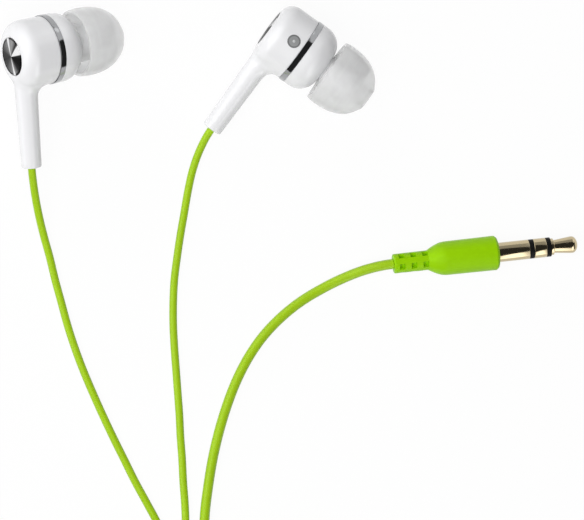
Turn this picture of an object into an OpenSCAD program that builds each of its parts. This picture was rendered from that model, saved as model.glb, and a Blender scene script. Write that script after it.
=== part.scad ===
// Wired in-ear earphones with a straight 3.5 mm plug, laid out on a flat surface at z = 0.
// An earpiece is drawn about its own axes: +X runs along the barrel towards the ear tip,
// -Z runs down the stem, and the middle of the trim ring is at zero.
// Outlines of turned pieces are lists of [distance along the axis, radius].

/* [Barrel] */
// Outer diameter of the rear housing
barrel_d = 12.2; // [11.8:0.1:13]
// From the middle of the trim ring to the back face
barrel_back = 7.1; // [6.9:0.1:9]
// Radius of the rounded back edge
back_round = 2.6; // [2.2:0.1:2.6]
// Wall of both housings
wall = 1; // [0.8:0.05:1.1]
// How far the front housing reaches into the rear one
spigot_len = 1.1; // [0.8:0.1:1.2]
// Wall of that spigot
spigot_wall = 0.5; // [0.4:0.05:0.55]

/* [Trim ring] */
// Width of the chrome ring
ring_w = 1; // [0.6:0.1:1.4]
// How far the ring stands proud of the rear housing
ring_proud = 0.15; // [0.05:0.05:0.3]

/* [Front housing] */
// Outer diameter just ahead of the ring
front_d = 12.4; // [12:0.1:13]
// Straight length ahead of the ring
front_straight = 1.1; // [0.8:0.1:1.6]
// Radius of the rounded front edge
front_round = 3.6; // [3.2:0.1:3.6]
// Length of the nozzle
nozzle_len = 5.3; // [4.6:0.1:5.5]
// Diameter of the nozzle's shaft
nozzle_d = 4.6; // [4.4:0.1:4.8]
// Diameter of the nozzle's barb
barb_d = 5.2; // [5:0.1:5.4]
// Length of the barb's straight band
barb_band = 0.7; // [0.4:0.1:1]
// Diameter of the sound bore
sound_d = 3.4; // [3:0.1:3.5]
// Diameter of the mesh
mesh_d = 3.8; // [3.6:0.1:3.9]
// Thickness of the mesh
mesh_t = 0.15; // [0.1:0.05:0.2]
// How deep the mesh lies in the nozzle's mouth
mesh_depth = 0.35; // [0.2:0.05:0.5]

/* [Ear tip] */
// Largest diameter of the ear tip
tip_d = 12.2; // [11.5:0.1:13]
// From the widest place to the front lip
tip_dome_len = 7.5; // [7:0.1:8.5]
// From the skirt's rim to the widest place
tip_skirt_len = 1.55; // [1:0.05:1.8]
// From the front of the housing to the skirt's rim
tip_gap = 0.45; // [0.3:0.05:0.9]
// Thickness of the skirt
tip_skin = 0.55; // [0.4:0.05:0.7]
// Thickness of the inner sleeve
tip_sleeve = 0.8; // [0.6:0.05:1]
// Diameter of the tip's mouth
tip_mouth_d = 3.6; // [3:0.1:4]

/* [Stem] */
// From the middle of the trim ring back to the stem's axis
stem_back = 4.75; // [4.6:0.05:4.9]
// Diameter where the stem leaves the barrel
stem_top_d = 4.1; // [4:0.1:4.4]
// Diameter at the stem's end
stem_end_d = 3.6; // [3.2:0.1:3.9]
// From the barrel's axis to the stem's end
stem_len = 20.7; // [17:0.1:24]
// Radius of the fillet between stem and barrel
stem_fillet = 1.5; // [1:0.1:1.6]

/* [Badge disc and side mark] */
// Diameter of the metal disc on the back
badge_d = 6.8; // [6:0.1:6.8]
// Thickness of the metal disc
badge_t = 0.55; // [0.45:0.05:0.6]
// How far the disc stands proud
badge_proud = 0.05; // [0:0.05:0.1]
// Diameter of the side mark
mark_d = 2.4; // [1.8:0.1:2.6]
// From the middle of the trim ring back to the side mark
mark_back = 2.45; // [2.2:0.05:3]
// Angle of the side mark above the barrel's side
mark_lift = 12; // [0:1:15]
// Depth of the side mark's seat
mark_depth = 0.25; // [0.2:0.05:0.35]
// Diameter of a raised dot on the side mark
dot_d = 0.4; // [0.3:0.05:0.5]

/* [Driver] */
// Outer diameter of the driver
driver_d = 9.9; // [9.6:0.1:9.9]
// Depth of the driver from yoke to cover
driver_t = 3.1; // [3:0.05:3.2]
// Diameter of the yoke
yoke_d = 6; // [5.8:0.1:6.4]
// Wall of the yoke
yoke_wall = 0.4; // [0.3:0.05:0.45]
// Thickness of the magnet
magnet_t = 0.9; // [0.7:0.05:1]
// Thickness of the pole piece
pole_t = 0.3; // [0.2:0.05:0.4]
// Inner diameter of the voice coil
coil_d = 4.6; // [4.4:0.05:4.65]
// Thickness of the voice coil's winding
coil_wall = 0.18; // [0.12:0.02:0.2]
// Thickness of the diaphragm film
film_t = 0.08; // [0.06:0.01:0.1]
// Travel of the diaphragm each way
film_travel = 0.15; // [0.1:0.05:0.2]

/* [Cords] */
// Diameter of the left and right branch cords
branch_d = 1.4; // [1.2:0.1:1.6]
// Diameter of the main cord
main_d = 1.8; // [1.6:0.1:2]
// Gap between neighbouring turns of a coil
turn_gap = 0.5; // [0.45:0.05:0.7]
// Turns of each branch cord's coil
branch_turns = 5; // [3:1:6]
// Turns of the main cord's coil
main_turns = 10; // [6:2:12]
// Radius of the outermost turn of the branch coils
branch_coil_r = 10.6; // [10.6:0.1:11.5]
// Radius of the outermost turn of the main coil
main_coil_r = 13.6; // [13.6:0.1:15]
// Width of a tie round a coil
tie_w = 3; // [2:0.1:5]
// Thickness of a tie
tie_t = 0.3; // [0.2:0.05:0.35]

/* [Plug] */
// Diameter of the pin
pin_d = 3.5; // [3.2:0.1:3.8]
// Length of the sleeve contact that shows
sleeve_len = 5.6; // [5:0.1:6.5]
// Length of the ring contact
ring_len = 2.25; // [2:0.05:2.6]
// Length of each black insulator
insulator_len = 0.85; // [0.5:0.05:0.95]
// Length of the tip contact
tip_contact_len = 4.95; // [4:0.05:5.2]
// Diameter of the grip at the pin
grip_d = 6.2; // [5.6:0.1:7]
// Length of the grip
grip_len = 12.95; // [12:0.05:15]
// Diameter of the strain relief at the grip
relief_d = 3.55; // [3.3:0.05:4]
// Length of the strain relief
relief_len = 6.2; // [5:0.1:9]

/* [Splitter] */
// Length of the splitter
splitter_len = 14; // [13:0.5:18]
// Height of the splitter
splitter_h = 3.4; // [3.2:0.1:4]
// Distance between the two branch cords in the splitter
splitter_pitch = 2.8; // [2.6:0.1:3]

/* [Hidden] */
$fn = 72;

// Fits and small gaps
fit = 0.05;
press = 0.02;
air_gap = 0.1;
cut = 1;
arc_steps = 8;
loop_rings = 24;

// Radii of the earpiece
barrel_r = barrel_d / 2;
ring_r = barrel_r + ring_proud;
ring_half = ring_w / 2;
front_r = front_d / 2;
badge_r = badge_d / 2;
barb_r = barb_d / 2;
nozzle_r = nozzle_d / 2;
sound_r = sound_d / 2;
mesh_r = mesh_d / 2;
cavity_r = barrel_r - wall;
driver_r = driver_d / 2;
spigot_in = driver_r + 2 * fit;
spigot_r = spigot_in + spigot_wall;

// Places along the barrel's axis
back_x = -barrel_back;
back_mid_x = back_x + back_round;
spigot_x = -ring_half - spigot_len;
front_mid_x = ring_half + front_straight;
face_x = front_mid_x + front_round;
nozzle_x = face_x + nozzle_len;
barb_len = 2.4;
mesh_x = nozzle_x - mesh_depth - mesh_t;
driver_set = 0.3;
driver_front_x = front_mid_x + driver_set;
driver_back_x = driver_front_x - driver_t;

// Driver
driver_wall = 0.35;
cover_t = 0.3;
cover_drop = 0.3;
cover_x = driver_front_x - cover_t;
frame_front_x = cover_x - cover_drop;
frame_floor = 0.4;
yoke_proud = 0.3;
frame_back_x = driver_back_x + yoke_proud;
ledge_w = 0.2;
ledge_drop = 0.4;
ledge_x = frame_front_x - ledge_drop;
yoke_r = yoke_d / 2;
pole_r = coil_d / 2 - air_gap;
magnet_r = pole_r - air_gap;
magnet_x = driver_back_x + yoke_wall;
pole_x = magnet_x + magnet_t;
yoke_front_x = pole_x + pole_t;
coil_r = coil_d / 2;
coil_clear = 0.15;
coil_back_x = magnet_x + film_travel + coil_clear;
film_x = ledge_x;
dome_h = cover_x - film_x - film_t - film_travel - air_gap;
ledge_r = driver_r - driver_wall - ledge_w;
roll_r = (ledge_r - coil_r - coil_wall) / 4;
roll_mid_r = ledge_r - roll_r;
film_edge_r = roll_mid_r - roll_r - fit;
chamber_rebate = 0.45;
chamber_r = driver_r - chamber_rebate;
chamber_end_x = face_x - wall;
felt_t = 0.25;
board_t = 0.25;
board_h = 1.5;
board_w = 2.6;
board_top = yoke_r + 2 * fit;

// Ear tip
tip_r = tip_d / 2;
tip_back_x = face_x + tip_gap;
tip_wide_x = tip_back_x + tip_skirt_len;
tip_front_x = tip_wide_x + tip_dome_len;
tip_bore_r = barb_r + fit;
tip_sleeve_r = tip_bore_r + tip_sleeve;
tip_seat_gap = 0.2;
tip_seat_x = face_x + tip_seat_gap;
tip_stop_gap = 0.15;
tip_stop_x = nozzle_x + tip_stop_gap;
tip_mouth_r = tip_mouth_d / 2;
tip_fork_share = 0.54;
tip_fork_x = tip_wide_x + tip_fork_share * tip_dome_len;
tip_rim_curl = 0.18;
tip_lip_w = 0.35;
tip_lip_round = 0.1;
tip_dome_reach = 0.95 * tip_dome_len;
tip_dome_full = 1.0215 * tip_dome_len;

// Stem
stem_r = stem_top_d / 2;
stem_end_r = stem_end_d / 2;
stem_bury = 0.5;
stem_root = barrel_r - back_round + stem_bury;
fillet_start = 0.35;
branch_r = branch_d / 2;
stem_bore_r = branch_r + fit;
ferrule_t = 0.3;
ferrule_r = branch_r + ferrule_t;
ferrule_len = 1.8;
ferrule_set = 0.1;
ferrule_seat = barrel_r + ferrule_set;
ferrule_top = ferrule_seat - ferrule_len;
wire_r = 0.15;
wire_bend = 0.8;
wire_rise = 1.3;
lip = 0.25;
badge_seat_x = back_x - badge_proud + badge_t;

// Plug, drawn along +X with the front of the grip at zero
pin_r = pin_d / 2;
grip_r = grip_d / 2;
grip_draft = 0.07;
grip_back_r = grip_r - grip_draft;
grip_taper = 3.4;
grip_edge = 0.4;
relief_r = relief_d / 2;
relief_draft = 0.03;
relief_tail_r = relief_r - relief_draft;
relief_x = -grip_len - relief_len;
slot_w = 1;
slot_pitch = 2.15;
slot_start = 0.88;
slot_rows = 1 + floor((relief_len - slot_start - slot_w) / slot_pitch);
slot_depth = 0.55;
slot_h = 1.05;
slot_sides = 5;
slot_turn = 24;
main_r = main_d / 2;
core_len = 9;
core_r = 2.1;
contact_root = 3;
ins_a_x = sleeve_len;
ring_x = ins_a_x + insulator_len;
ins_b_x = ring_x + ring_len;
tip_x = ins_b_x + insulator_len;
pin_x = tip_x + tip_contact_len;
rod_r = 0.45;
stack = (pin_r - rod_r) / 4;
contact_root_r = pin_r - 0.6 * stack;
tip_edge = 0.25;
tip_neck_r = pin_r - 0.6;
tip_nose_r = pin_r - 0.25;
tip_collar_len = 0.5;
tip_step = 0.12;

// Splitter, drawn along +X with the branch cords at its back and the main cord at its front
splitter_r = splitter_h / 2;
splitter_round = 0.4;
splitter_bevel = 1;
splitter_core_len = 6;
splitter_core_w = splitter_pitch + 0.4;
splitter_core_h = 1.8;
splitter_nose_r = main_r + 0.5;
splitter_nose_draft = 0.3;

// How the pieces lie. A pose is [place, [roll, pitch, heading]].
left_dip_angle = 19.2;
right_dip_angle = -3.7;
tip_outline = [for (i = [0:arc_steps * 2]) let (t = i / arc_steps / 2) tip_point(t)];
rim_points = [[back_mid_x, barrel_r], [-ring_half, ring_r], [ring_half, ring_r], [front_mid_x, front_r]];
left_h = rest_height(left_dip_angle);
right_h = rest_height(right_dip_angle);
right_roll_angle = asin((right_h + stem_back * sin(right_dip_angle) - stem_end_r) / stem_len);
left_pose = [[-25.87, 6.47, left_h], [-74.1, left_dip_angle, 11.7]];
right_pose = [[20.3, 6.3, right_h], [right_roll_angle - 90, right_dip_angle, -35.8]];
plug_pose = [[56.6, -29.56, grip_r], [0, 0, 6.1]];
splitter_pose = [[-2.1, -119.4, splitter_h / 2], [0, 0, -90]];

// Height of the barrel's axis over the surface when the earpiece lies with its nose down by the dip
function rest_height(dip) =
    max([for (p = concat(tip_outline, rim_points)) p[0] * sin(dip) + p[1] * cos(dip)]);
function turn_x(p, a) = [p[0], p[1] * cos(a) - p[2] * sin(a), p[1] * sin(a) + p[2] * cos(a)];
function turn_y(p, a) = [p[0] * cos(a) + p[2] * sin(a), p[1], p[2] * cos(a) - p[0] * sin(a)];
function turn_z(p, a) = [p[0] * cos(a) - p[1] * sin(a), p[0] * sin(a) + p[1] * cos(a), p[2]];
function turned_by(p, r) = turn_z(turn_y(turn_x(p, r[0]), r[1]), r[2]);
function placed(p, pose) = pose[0] + turned_by(p, pose[1]);

// Cord routes, point by point along the surface
tie_slack = 0.1;
coil_z = tie_t + tie_slack;
branch_step = branch_d + turn_gap;
main_step = main_d + turn_gap;
branch_lane_x = -2.8;
main_lane_x = 3.6;
branch_coil_mid = [branch_lane_x - branch_coil_r, -92.9];
main_coil_mid = [main_lane_x + main_coil_r, -95.9];
port_y = splitter_pose[0][1] + splitter_len / 2;
tail_y = splitter_pose[0][1] - splitter_len / 2;
port_z = splitter_pose[0][2];
south = [0, -1, 0];
north = [0, 1, 0];
left_exit = placed([-stem_back, 0, -stem_len], left_pose);
right_exit = placed([-stem_back, 0, -stem_len], right_pose);
left_exit_way = turned_by([0, 0, -1], left_pose[1]);
right_exit_way = turned_by([0, 0, -1], right_pose[1]);
plug_exit = placed([relief_x, 0, 0], plug_pose);
plug_exit_way = turned_by([-1, 0, 0], plug_pose[1]);

left_in = [branch_coil_mid[0] + branch_coil_r, branch_coil_mid[1] + branch_d, coil_z + branch_r];
left_out = [left_in[0], branch_coil_mid[1] - branch_d, left_in[2] + branch_step];
right_in = [left_in[0], left_in[1], left_in[2] + 2 * branch_step];
right_out = [left_out[0], left_out[1], left_out[2] + 2 * branch_step];
main_in = [main_coil_mid[0] - main_coil_r, main_coil_mid[1] + main_d, coil_z + main_r];
main_out = [main_in[0], main_coil_mid[1] - main_d, main_in[2] + 3 * main_step];

left_route = [
    left_exit, [-27.4, -18.4, 3.8], [-26.5, -22.4, 2.5], [-25.4, -26.4, 1.5], [-24.2, -30.4, 0.9],
    [-23.2, -34.4, 0.7],
    [-22.1, -38.4, 0.7], [-21, -42.4, 0.7], [-19.7, -46.4, 0.7], [-18.2, -50.4, 0.7], [-16.5, -54.4, 0.7],
    [-14.7, -58.4, 0.7], [-12.8, -62.4, 0.7], [-10.8, -66.4, 0.7], [-8.8, -70.4, 0.7], [-6.6, -74.4, 0.7],
    [-4.5, -78.4, 0.7], [-3.2, -82.4, 0.8], [branch_lane_x, -86.9, 0.9], left_in
];
right_route = [
    right_exit, [2.9, -11.2, 0.9], [1.6, -14.9, 0.7], [0.8, -18.4, 0.7], [0.1, -22.4, 0.7],
    [-0.6, -26.4, 0.7],
    [-1.2, -30.4, 0.7], [-1.7, -34.4, 0.7], [-1.9, -38.4, 0.7], [-1.9, -42.4, 0.7], [-1.7, -46.4, 0.7],
    [-1.4, -50.4, 0.7], [-1.1, -54.4, 0.7], [-0.8, -58.4, 0.7], [-0.6, -62.4, 0.7], [-0.3, -66.4, 0.7],
    [-0.1, -70.4, 0.7], [0.2, -74.4, 0.7], [0.3, -78.4, 0.8], [-0.2, -82.4, 1.9],
    [-1.5, -86.4, 3.8], right_in
];
main_route = [
    plug_exit, [33.1, -32.5, 2.4], [28.9, -34.1, 1.4], [24.7, -36.2, 0.9], [20.9, -38.5, 0.9],
    [17.3, -41.4, 0.9], [14.1, -44.8, 0.9], [11.5, -48.6, 0.9], [9.4, -52.7, 0.9], [7.7, -57.1, 0.9],
    [6.3, -61.7, 0.9], [5.2, -66.4, 0.9], [4.4, -71.2, 0.9], [3.8, -76, 0.9], [main_lane_x, -80.8, 1],
    [main_lane_x, -86.4, 1.1], main_in
];
left_tail = [
    left_out, [-3, -97.4, 2.6], [-3.4, -101.4, 2], [-3.5, -105.4, 1.7],
    [splitter_pose[0][0] - splitter_pitch / 2, port_y, port_z]
];
right_tail = [
    right_out, [-2.4, -97.4, 6.2], [-1.4, -100.9, 4.6], [-0.8, -104.4, 3], [-0.7, -108.4, 2],
    [splitter_pose[0][0] + splitter_pitch / 2, port_y, port_z]
];
main_tail = [
    main_out, [3.8, -101.9, 7], [4.5, -106.4, 4.8], [6.1, -111.4, 2.6], [7.9, -116.9, 1.3],
    [8.9, -122.4, 0.9],
    [8.4, -127.9, 0.9], [5.7, -132.3, 0.9], [1.6, -133.6, 1], [-1.5, -130.8, 1.4],
    [splitter_pose[0][0], tail_y, port_z]
];

// Points of an arc in an outline: middle along the axis, middle radius, radius and two angles
function arc(mid_x, mid_r, r, from, to) =
    [for (i = [0:arc_steps]) let (a = from + (to - from) * i / arc_steps)
        [mid_x + r * cos(a), mid_r + r * sin(a)]];

// Outside of the ear tip from the rim, t = 0, over the widest place to the lip, t = 1
function tip_outside_r(x) =
    x < tip_wide_x ? tip_r - tip_rim_curl * pow((tip_wide_x - x) / tip_skirt_len, 2)
        : tip_r * pow(1 - pow((x - tip_wide_x) / tip_dome_full, 2.4), 1 / 2.1);
function tip_point(t) =
    let (x = t < 0.25 ? tip_back_x + tip_skirt_len * t / 0.25
        : tip_wide_x + tip_dome_reach * (t - 0.25) / 0.75)
    [x, tip_outside_r(x)];

// Points of a flat coil wound inwards and outwards by turns, one layer above the other.
// The radius falls and rises at a steady rate, and the climb takes the half turn about each reversal.
function triangle_wave(k) = let (m = k - 2 * floor(k / 2)) m <= 1 ? m : 2 - m;
function ramp(k) = max(0, min(1, k));
function coil_path(mid, z, outer_r, step, turns, layers, start, sense) =
    let (per_layer = turns / layers)
    [for (i = [0:round(turns * loop_rings)])
        let (s = i / loop_rings,
            r = outer_r - step * per_layer * triangle_wave(s / per_layer),
            up = [for (j = [1:1:layers - 1]) ramp((s - j * per_layer) * 2 + 0.5)],
            a = start + sense * 360 * s)
        [mid[0] + r * cos(a), mid[1] + r * sin(a), z + step * (up * [for (u = up) 1])]];

function branch_coil_path(z) =
    coil_path(branch_coil_mid, z, branch_coil_r, branch_step, branch_turns, 2, 0, -1);
left_coil_path = branch_coil_path(left_in[2]);
right_coil_path = branch_coil_path(right_in[2]);
main_coil_path = coil_path(main_coil_mid, main_in[2], main_coil_r, main_step, main_turns, 4, 180, 1);

// Length of a path, and the least distance between points of one path half a turn or more apart
function path_length(p, i = 1) = i >= len(p) ? 0 : norm(p[i] - p[i - 1]) + path_length(p, i + 1);
function least_apart(p) =
    min([for (i = [0:len(p) - 1 - loop_rings / 2])
        for (j = [i + loop_rings / 2:len(p) - 1]) norm(p[i] - p[j])]);

// A closed round tube along a path, square to its first and last way
function unit(v) = v / norm(v);
function way(p, i, first, last) = i == 0 ? first : i == len(p) - 1 ? last : unit(p[i + 1] - p[i - 1]);
function tube_ring(c, t, r, sides, upright) =
    let (side = unit(cross(t, upright)), up = cross(side, t))
    [for (k = [0:sides - 1]) let (a = (k + 0.5) * 360 / sides) c + r * (cos(a) * up + sin(a) * side)];
module tube(path, r, sides, first, last, upright = [0, 0, 1]) {
    rings = len(path);
    points = [for (i = [0:rings - 1]) each tube_ring(path[i], way(path, i, first, last), r, sides, upright)];
    skin = [for (i = [0:rings - 2]) for (k = [0:sides - 1])
        let (a = i * sides + k, b = i * sides + (k + 1) % sides)
        each [[a, a + sides, b], [b, a + sides, b + sides]]];
    near = [for (k = [1:sides - 2]) [0, k, k + 1]];
    far = [for (k = [1:sides - 2]) let (o = (rings - 1) * sides) [o, o + k + 1, o + k]];
    polyhedron(points, concat(skin, near, far), convexity = 10);
}
module wound(path, r, name) {
    echo(str(name, " length ", path_length(path), " least gap ", least_apart(path) - 2 * r));
    tube(concat([path[0] - 2 * r * south], path, [path[len(path) - 1] + 2 * r * south]), r, 6, south, south);
}
module laid(path, r, first, last) tube(path, r, 8, first, last);

// A piece turned about the barrel's axis from its closed outline
module turned(outline) rotate([0, 90, 0]) rotate_extrude() polygon([for (p = outline) [p[1], p[0]]]);
module rod(from, to, r) translate([from, 0, 0]) rotate([0, 90, 0]) cylinder(r = r, h = to - from);
module pipe(from, to, r_in, r_out) turned([[from, r_in], [to, r_in], [to, r_out], [from, r_out]]);
module at(pose) translate(pose[0]) rotate(pose[1]) children();

// Housings
module barrel_solid() turned(concat(
    [[back_x, 0]], arc(back_mid_x, barrel_r - back_round, back_round, 180, 90),
    [[-ring_half, barrel_r], [-ring_half, 0]]));
module barrel_cavity() turned(concat(
    [[back_x + wall, 0]], arc(back_mid_x, barrel_r - back_round, back_round - wall, 180, 90),
    [[spigot_x - fit, cavity_r], [spigot_x - fit, spigot_r + fit], [cut, spigot_r + fit], [cut, 0]]));
module stem_solid() rotate_extrude() polygon([
    [0, -stem_len], [stem_end_r - lip, -stem_len], [stem_end_r, lip - stem_len],
    [stem_r, -barrel_r], [stem_r, -stem_root], [0, -stem_root]]);
module stem_fillet_solid() {
    foot = stem_r - fit;
    intersection() {
        rotate_extrude() polygon(concat(
            [[0, -barrel_r - stem_fillet]],
            [for (i = [0:arc_steps]) let (a = 180 - 90 * i / arc_steps)
                [foot + stem_fillet * (1 + cos(a)), stem_fillet * (sin(a) - 1) - barrel_r]],
            [[foot + stem_fillet, -stem_root], [0, -stem_root]]));
        translate([fillet_start - stem_r, -barrel_r, -barrel_r - stem_fillet - cut])
            cube([2 * barrel_r, 2 * barrel_r, barrel_r + stem_fillet]);
    }
}
module mark_seat(r) {
    translate([-mark_back, 0, 0]) intersection() {
        rotate([90 - mark_lift, 0, 0]) translate([0, 0, barrel_r / 2]) cylinder(r = r, h = barrel_r);
        pipe(-mark_d, mark_d, barrel_r - mark_depth, barrel_r + cut);
    }
}
module to_side(mirrored) mirror([0, mirrored ? 1 : 0, 0]) children();
module rear_housing(mirrored) {
    color("white") difference() {
        union() {
            barrel_solid();
            translate([-stem_back, 0, 0]) {
                stem_solid();
                stem_fillet_solid();
            }
        }
        barrel_cavity();
        rod(back_x - cut, badge_seat_x, badge_r + fit);
        to_side(mirrored) mark_seat(mark_d / 2 + fit);
        translate([-stem_back, 0, 0]) {
            translate([0, 0, -stem_len - cut]) cylinder(r = stem_bore_r, h = stem_len + cut - stem_root);
            translate([0, 0, -ferrule_seat]) cylinder(r = ferrule_r + fit, h = ferrule_len);
        }
    }
}
module badge_disc() {
    color("silver") turned([
        [badge_seat_x, 0], [badge_seat_x, badge_r], [back_x + fit, badge_r],
        [back_x - badge_proud, badge_r - 0.15], [back_x - badge_proud, 0]]);
}
module trim_ring() {
    bevel = 0.12;
    color("silver") turned([
        [-ring_half, spigot_r + fit], [-ring_half, ring_r - bevel], [bevel - ring_half, ring_r],
        [ring_half - bevel, ring_r], [ring_half, ring_r - bevel], [ring_half, spigot_r + fit]]);
}
module front_housing() {
    barb_x = nozzle_x - barb_len;
    barb_nose_r = nozzle_r - 0.05;
    color("white") turned(concat(
        [[spigot_x, spigot_in], [spigot_x, spigot_r], [ring_half, spigot_r], [ring_half, front_r]],
        arc(front_mid_x, front_r - front_round, front_round, 90, 0),
        [[face_x, nozzle_r], [barb_x, nozzle_r], [barb_x, barb_r], [barb_x + barb_band, barb_r],
            [nozzle_x, barb_nose_r], [nozzle_x, mesh_r + fit], [mesh_x, mesh_r + fit], [mesh_x, sound_r],
            [chamber_end_x, sound_r],
            [driver_front_x, chamber_r], [driver_front_x, spigot_in]]));
}
module nozzle_mesh() {
    hole_r = 0.2;
    hole_pitch = 0.6;
    color("gray") difference() {
        rod(mesh_x, mesh_x + mesh_t, mesh_r);
        for (row = [-2:2]) for (column = [-2:2]) if (abs(row + column) < 3)
            translate([mesh_x - cut, (column + row / 2) * hole_pitch, row * hole_pitch * sin(60)])
                rotate([0, 90, 0]) cylinder(r = hole_r, h = 3 * cut, $fn = 6);
    }
}
module ear_tip() {
    lip_r = tip_mouth_r + tip_lip_w;
    fork_r = (tip_r_inside(tip_fork_x) - tip_sleeve_r) / 2;
    color("gainsboro") turned(concat(
        tip_outline,
        [[tip_front_x - tip_lip_round, lip_r], [tip_front_x, tip_mouth_r + tip_lip_round],
            [tip_front_x - tip_lip_round, tip_mouth_r],
            [tip_stop_x, tip_mouth_r], [tip_stop_x, tip_bore_r], [tip_seat_x, tip_bore_r],
            [tip_seat_x, tip_sleeve_r]],
        arc(tip_fork_x, tip_sleeve_r + fork_r, fork_r, -90, 90),
        [for (i = [arc_steps:-1:0]) let (x = tip_back_x + (tip_fork_x - tip_back_x - 0.4) * i / arc_steps)
            [x, tip_r_inside(x)]]));
}
function tip_r_inside(x) = tip_outside_r(x) - tip_skin;
module side_mark(mirrored, dots) {
    color("silver") to_side(mirrored) union() {
        intersection() {
            mark_seat(mark_d / 2);
            rod(-2 * mark_back, 0, barrel_r);
        }
        for (i = [0:dots - 1])
            translate([(i - (dots - 1) / 2) * 2 * dot_d - mark_back, 0, 0]) rotate([90 - mark_lift, 0, 0])
                translate([0, 0, barrel_r - mark_depth / 2]) cylinder(d = dot_d, h = mark_depth / 2 + 0.1);
    }
}

// Driver
module driver_frame() {
    vent_w = 0.8;
    color("dimgray") difference() {
        turned([
            [frame_back_x, yoke_r + fit], [frame_back_x, driver_r], [frame_front_x, driver_r],
            [frame_front_x, driver_r - driver_wall], [ledge_x, driver_r - driver_wall], [ledge_x, ledge_r],
            [frame_back_x + frame_floor, ledge_r], [frame_back_x + frame_floor, yoke_r + fit]]);
        for (a = [45:90:315]) rotate([a, 0, 0])
            translate([frame_back_x - cut, -vent_w / 2, (yoke_r + ledge_r) / 2 - vent_w / 4])
                cube([3 * cut, vent_w, vent_w / 2]);
    }
}
module driver_magnet_system() {
    color("gray") turned([
        [driver_back_x, 0], [driver_back_x, yoke_r], [yoke_front_x, yoke_r],
        [yoke_front_x, yoke_r - yoke_wall], [magnet_x, yoke_r - yoke_wall], [magnet_x, 0]]);
    color("dimgray") rod(magnet_x + press, pole_x, magnet_r);
    color("gray") rod(pole_x + press, pole_x + pole_t, pole_r);
}
module voice_coil() color("peru") pipe(coil_back_x, film_x, coil_r, coil_r + coil_wall);
module diaphragm() {
    dome_top = [for (i = [0:arc_steps]) let (k = i / arc_steps)
        [film_x + film_t + dome_h * (1 - k * k), coil_r * k]];
    dome_under = [for (i = [arc_steps:-1:0]) let (k = i / arc_steps)
        [film_x + dome_h * (1 - k * k), (coil_r - film_t) * k]];
    color("lightgray") turned(concat(
        dome_top, [[film_x + film_t, film_edge_r], [film_x, film_edge_r]], dome_under));
}
module surround() {
    flange_r = driver_r - driver_wall - fit;
    top = arc(film_x, roll_mid_r, roll_r, -90, 90);
    under = arc(film_x, roll_mid_r, roll_r - film_t, 90, -90);
    color("lightgray") turned(concat(
        top, [[film_x + film_t, ledge_r], [film_x + film_t, flange_r], [film_x, flange_r]], under));
}
module driver_cover() {
    hole_ring_r = coil_r + 0.5;
    hole_r = 0.5;
    color("silver") difference() {
        turned([
            [frame_front_x, driver_r - driver_wall], [frame_front_x, driver_r], [driver_front_x, driver_r],
            [driver_front_x, 0], [cover_x, 0], [cover_x, driver_r - driver_wall]]);
        for (a = [0:60:300]) rotate([a, 0, 0]) translate([cover_x - cut, 0, hole_ring_r])
            rotate([0, 90, 0]) cylinder(r = hole_r, h = 3 * cut, $fn = 12);
        translate([cover_x - cut, 0, 0]) rotate([0, 90, 0]) cylinder(r = hole_r, h = 3 * cut, $fn = 12);
    }
}
module damping_felt() {
    color("black") difference() {
        pipe(frame_back_x - felt_t, frame_back_x, yoke_r + 2 * fit, ledge_r);
        translate([frame_back_x - felt_t - cut, -board_w / 2 - fit, -driver_r])
            cube([felt_t + 2 * cut, board_w + 2 * fit, driver_r - yoke_r + board_h]);
    }
}
module terminal_board() {
    color("green") translate([frame_back_x - board_t, -board_w / 2, -board_top - board_h])
        cube([board_t, board_w, board_h]);
}
module lead_wires() {
    color("firebrick") for (side = [-1, 1])
        tube([
            [-stem_back, side * 0.3, -ferrule_top + 0.4], [-stem_back + 0.1, side * 0.32, 1 - ferrule_top],
            [-stem_back + wire_bend, side * 0.4, wire_rise - ferrule_top],
            [spigot_x - 0.9, side * 0.55, 1 - ferrule_top], [spigot_x - 0.3, side * 0.65, -board_top - 0.6],
            [frame_back_x - board_t, side * 0.7, -board_top - 0.8]],
            wire_r, 6, [0, 0, 1], [1, 0, 0], [0, 1, 0]);
}
module cord_anchor() {
    color("silver") translate([-stem_back, 0, 0]) rotate_extrude() polygon([
        [branch_r + press, -ferrule_seat], [ferrule_r, -ferrule_seat],
        [ferrule_r, -ferrule_top], [branch_r + press, -ferrule_top]]);
}
module cord_tail() {
    color("yellowgreen") translate([-stem_back, 0, -stem_len])
        cylinder(r = branch_r, h = stem_len - ferrule_top + 0.4);
}

// Plug
module plug_overmould() {
    shoulder = [for (i = [0:arc_steps]) let (a = 90 * i / arc_steps)
        [grip_taper * a / 90 - grip_len, relief_r + (grip_back_r - relief_r) * sin(a)]];
    color("yellowgreen") difference() {
        turned(concat(
            [[relief_x, main_r + press], [relief_x, relief_tail_r]], shoulder,
            [[-grip_edge, grip_r], [0, grip_r - grip_edge / 2], [0, pin_r + press],
                [-press, pin_r + press], [-press, core_r + press], [-core_len - press, core_r + press],
                [-core_len - press, main_r + press]]));
        for (row = [0:slot_rows - 1]) for (side = [1:slot_sides])
            rotate([slot_turn + 360 / slot_sides * side, 0, 0])
                translate([relief_x + slot_start + row * slot_pitch, -slot_h / 2, relief_r - slot_depth])
                    cube([slot_w, slot_h, slot_depth + cut]);
    }
}
module plug_core() {
    color("ivory") difference() {
        rod(-core_len, -2 * press, core_r);
        rod(-contact_root - press, cut, contact_root_r + press);
        rod(-core_len - cut, -core_len + cut, main_r + press);
    }
}
module plug_cord_end() color("yellowgreen") rod(relief_x, cut - core_len, main_r);
module plug_sleeve_contact() {
    color("khaki") turned([
        [-contact_root, rod_r + 3 * stack + press], [-contact_root, contact_root_r], [0, contact_root_r],
        [0, pin_r], [ins_a_x, pin_r], [ins_a_x, rod_r + 3 * stack + press]]);
}
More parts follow.
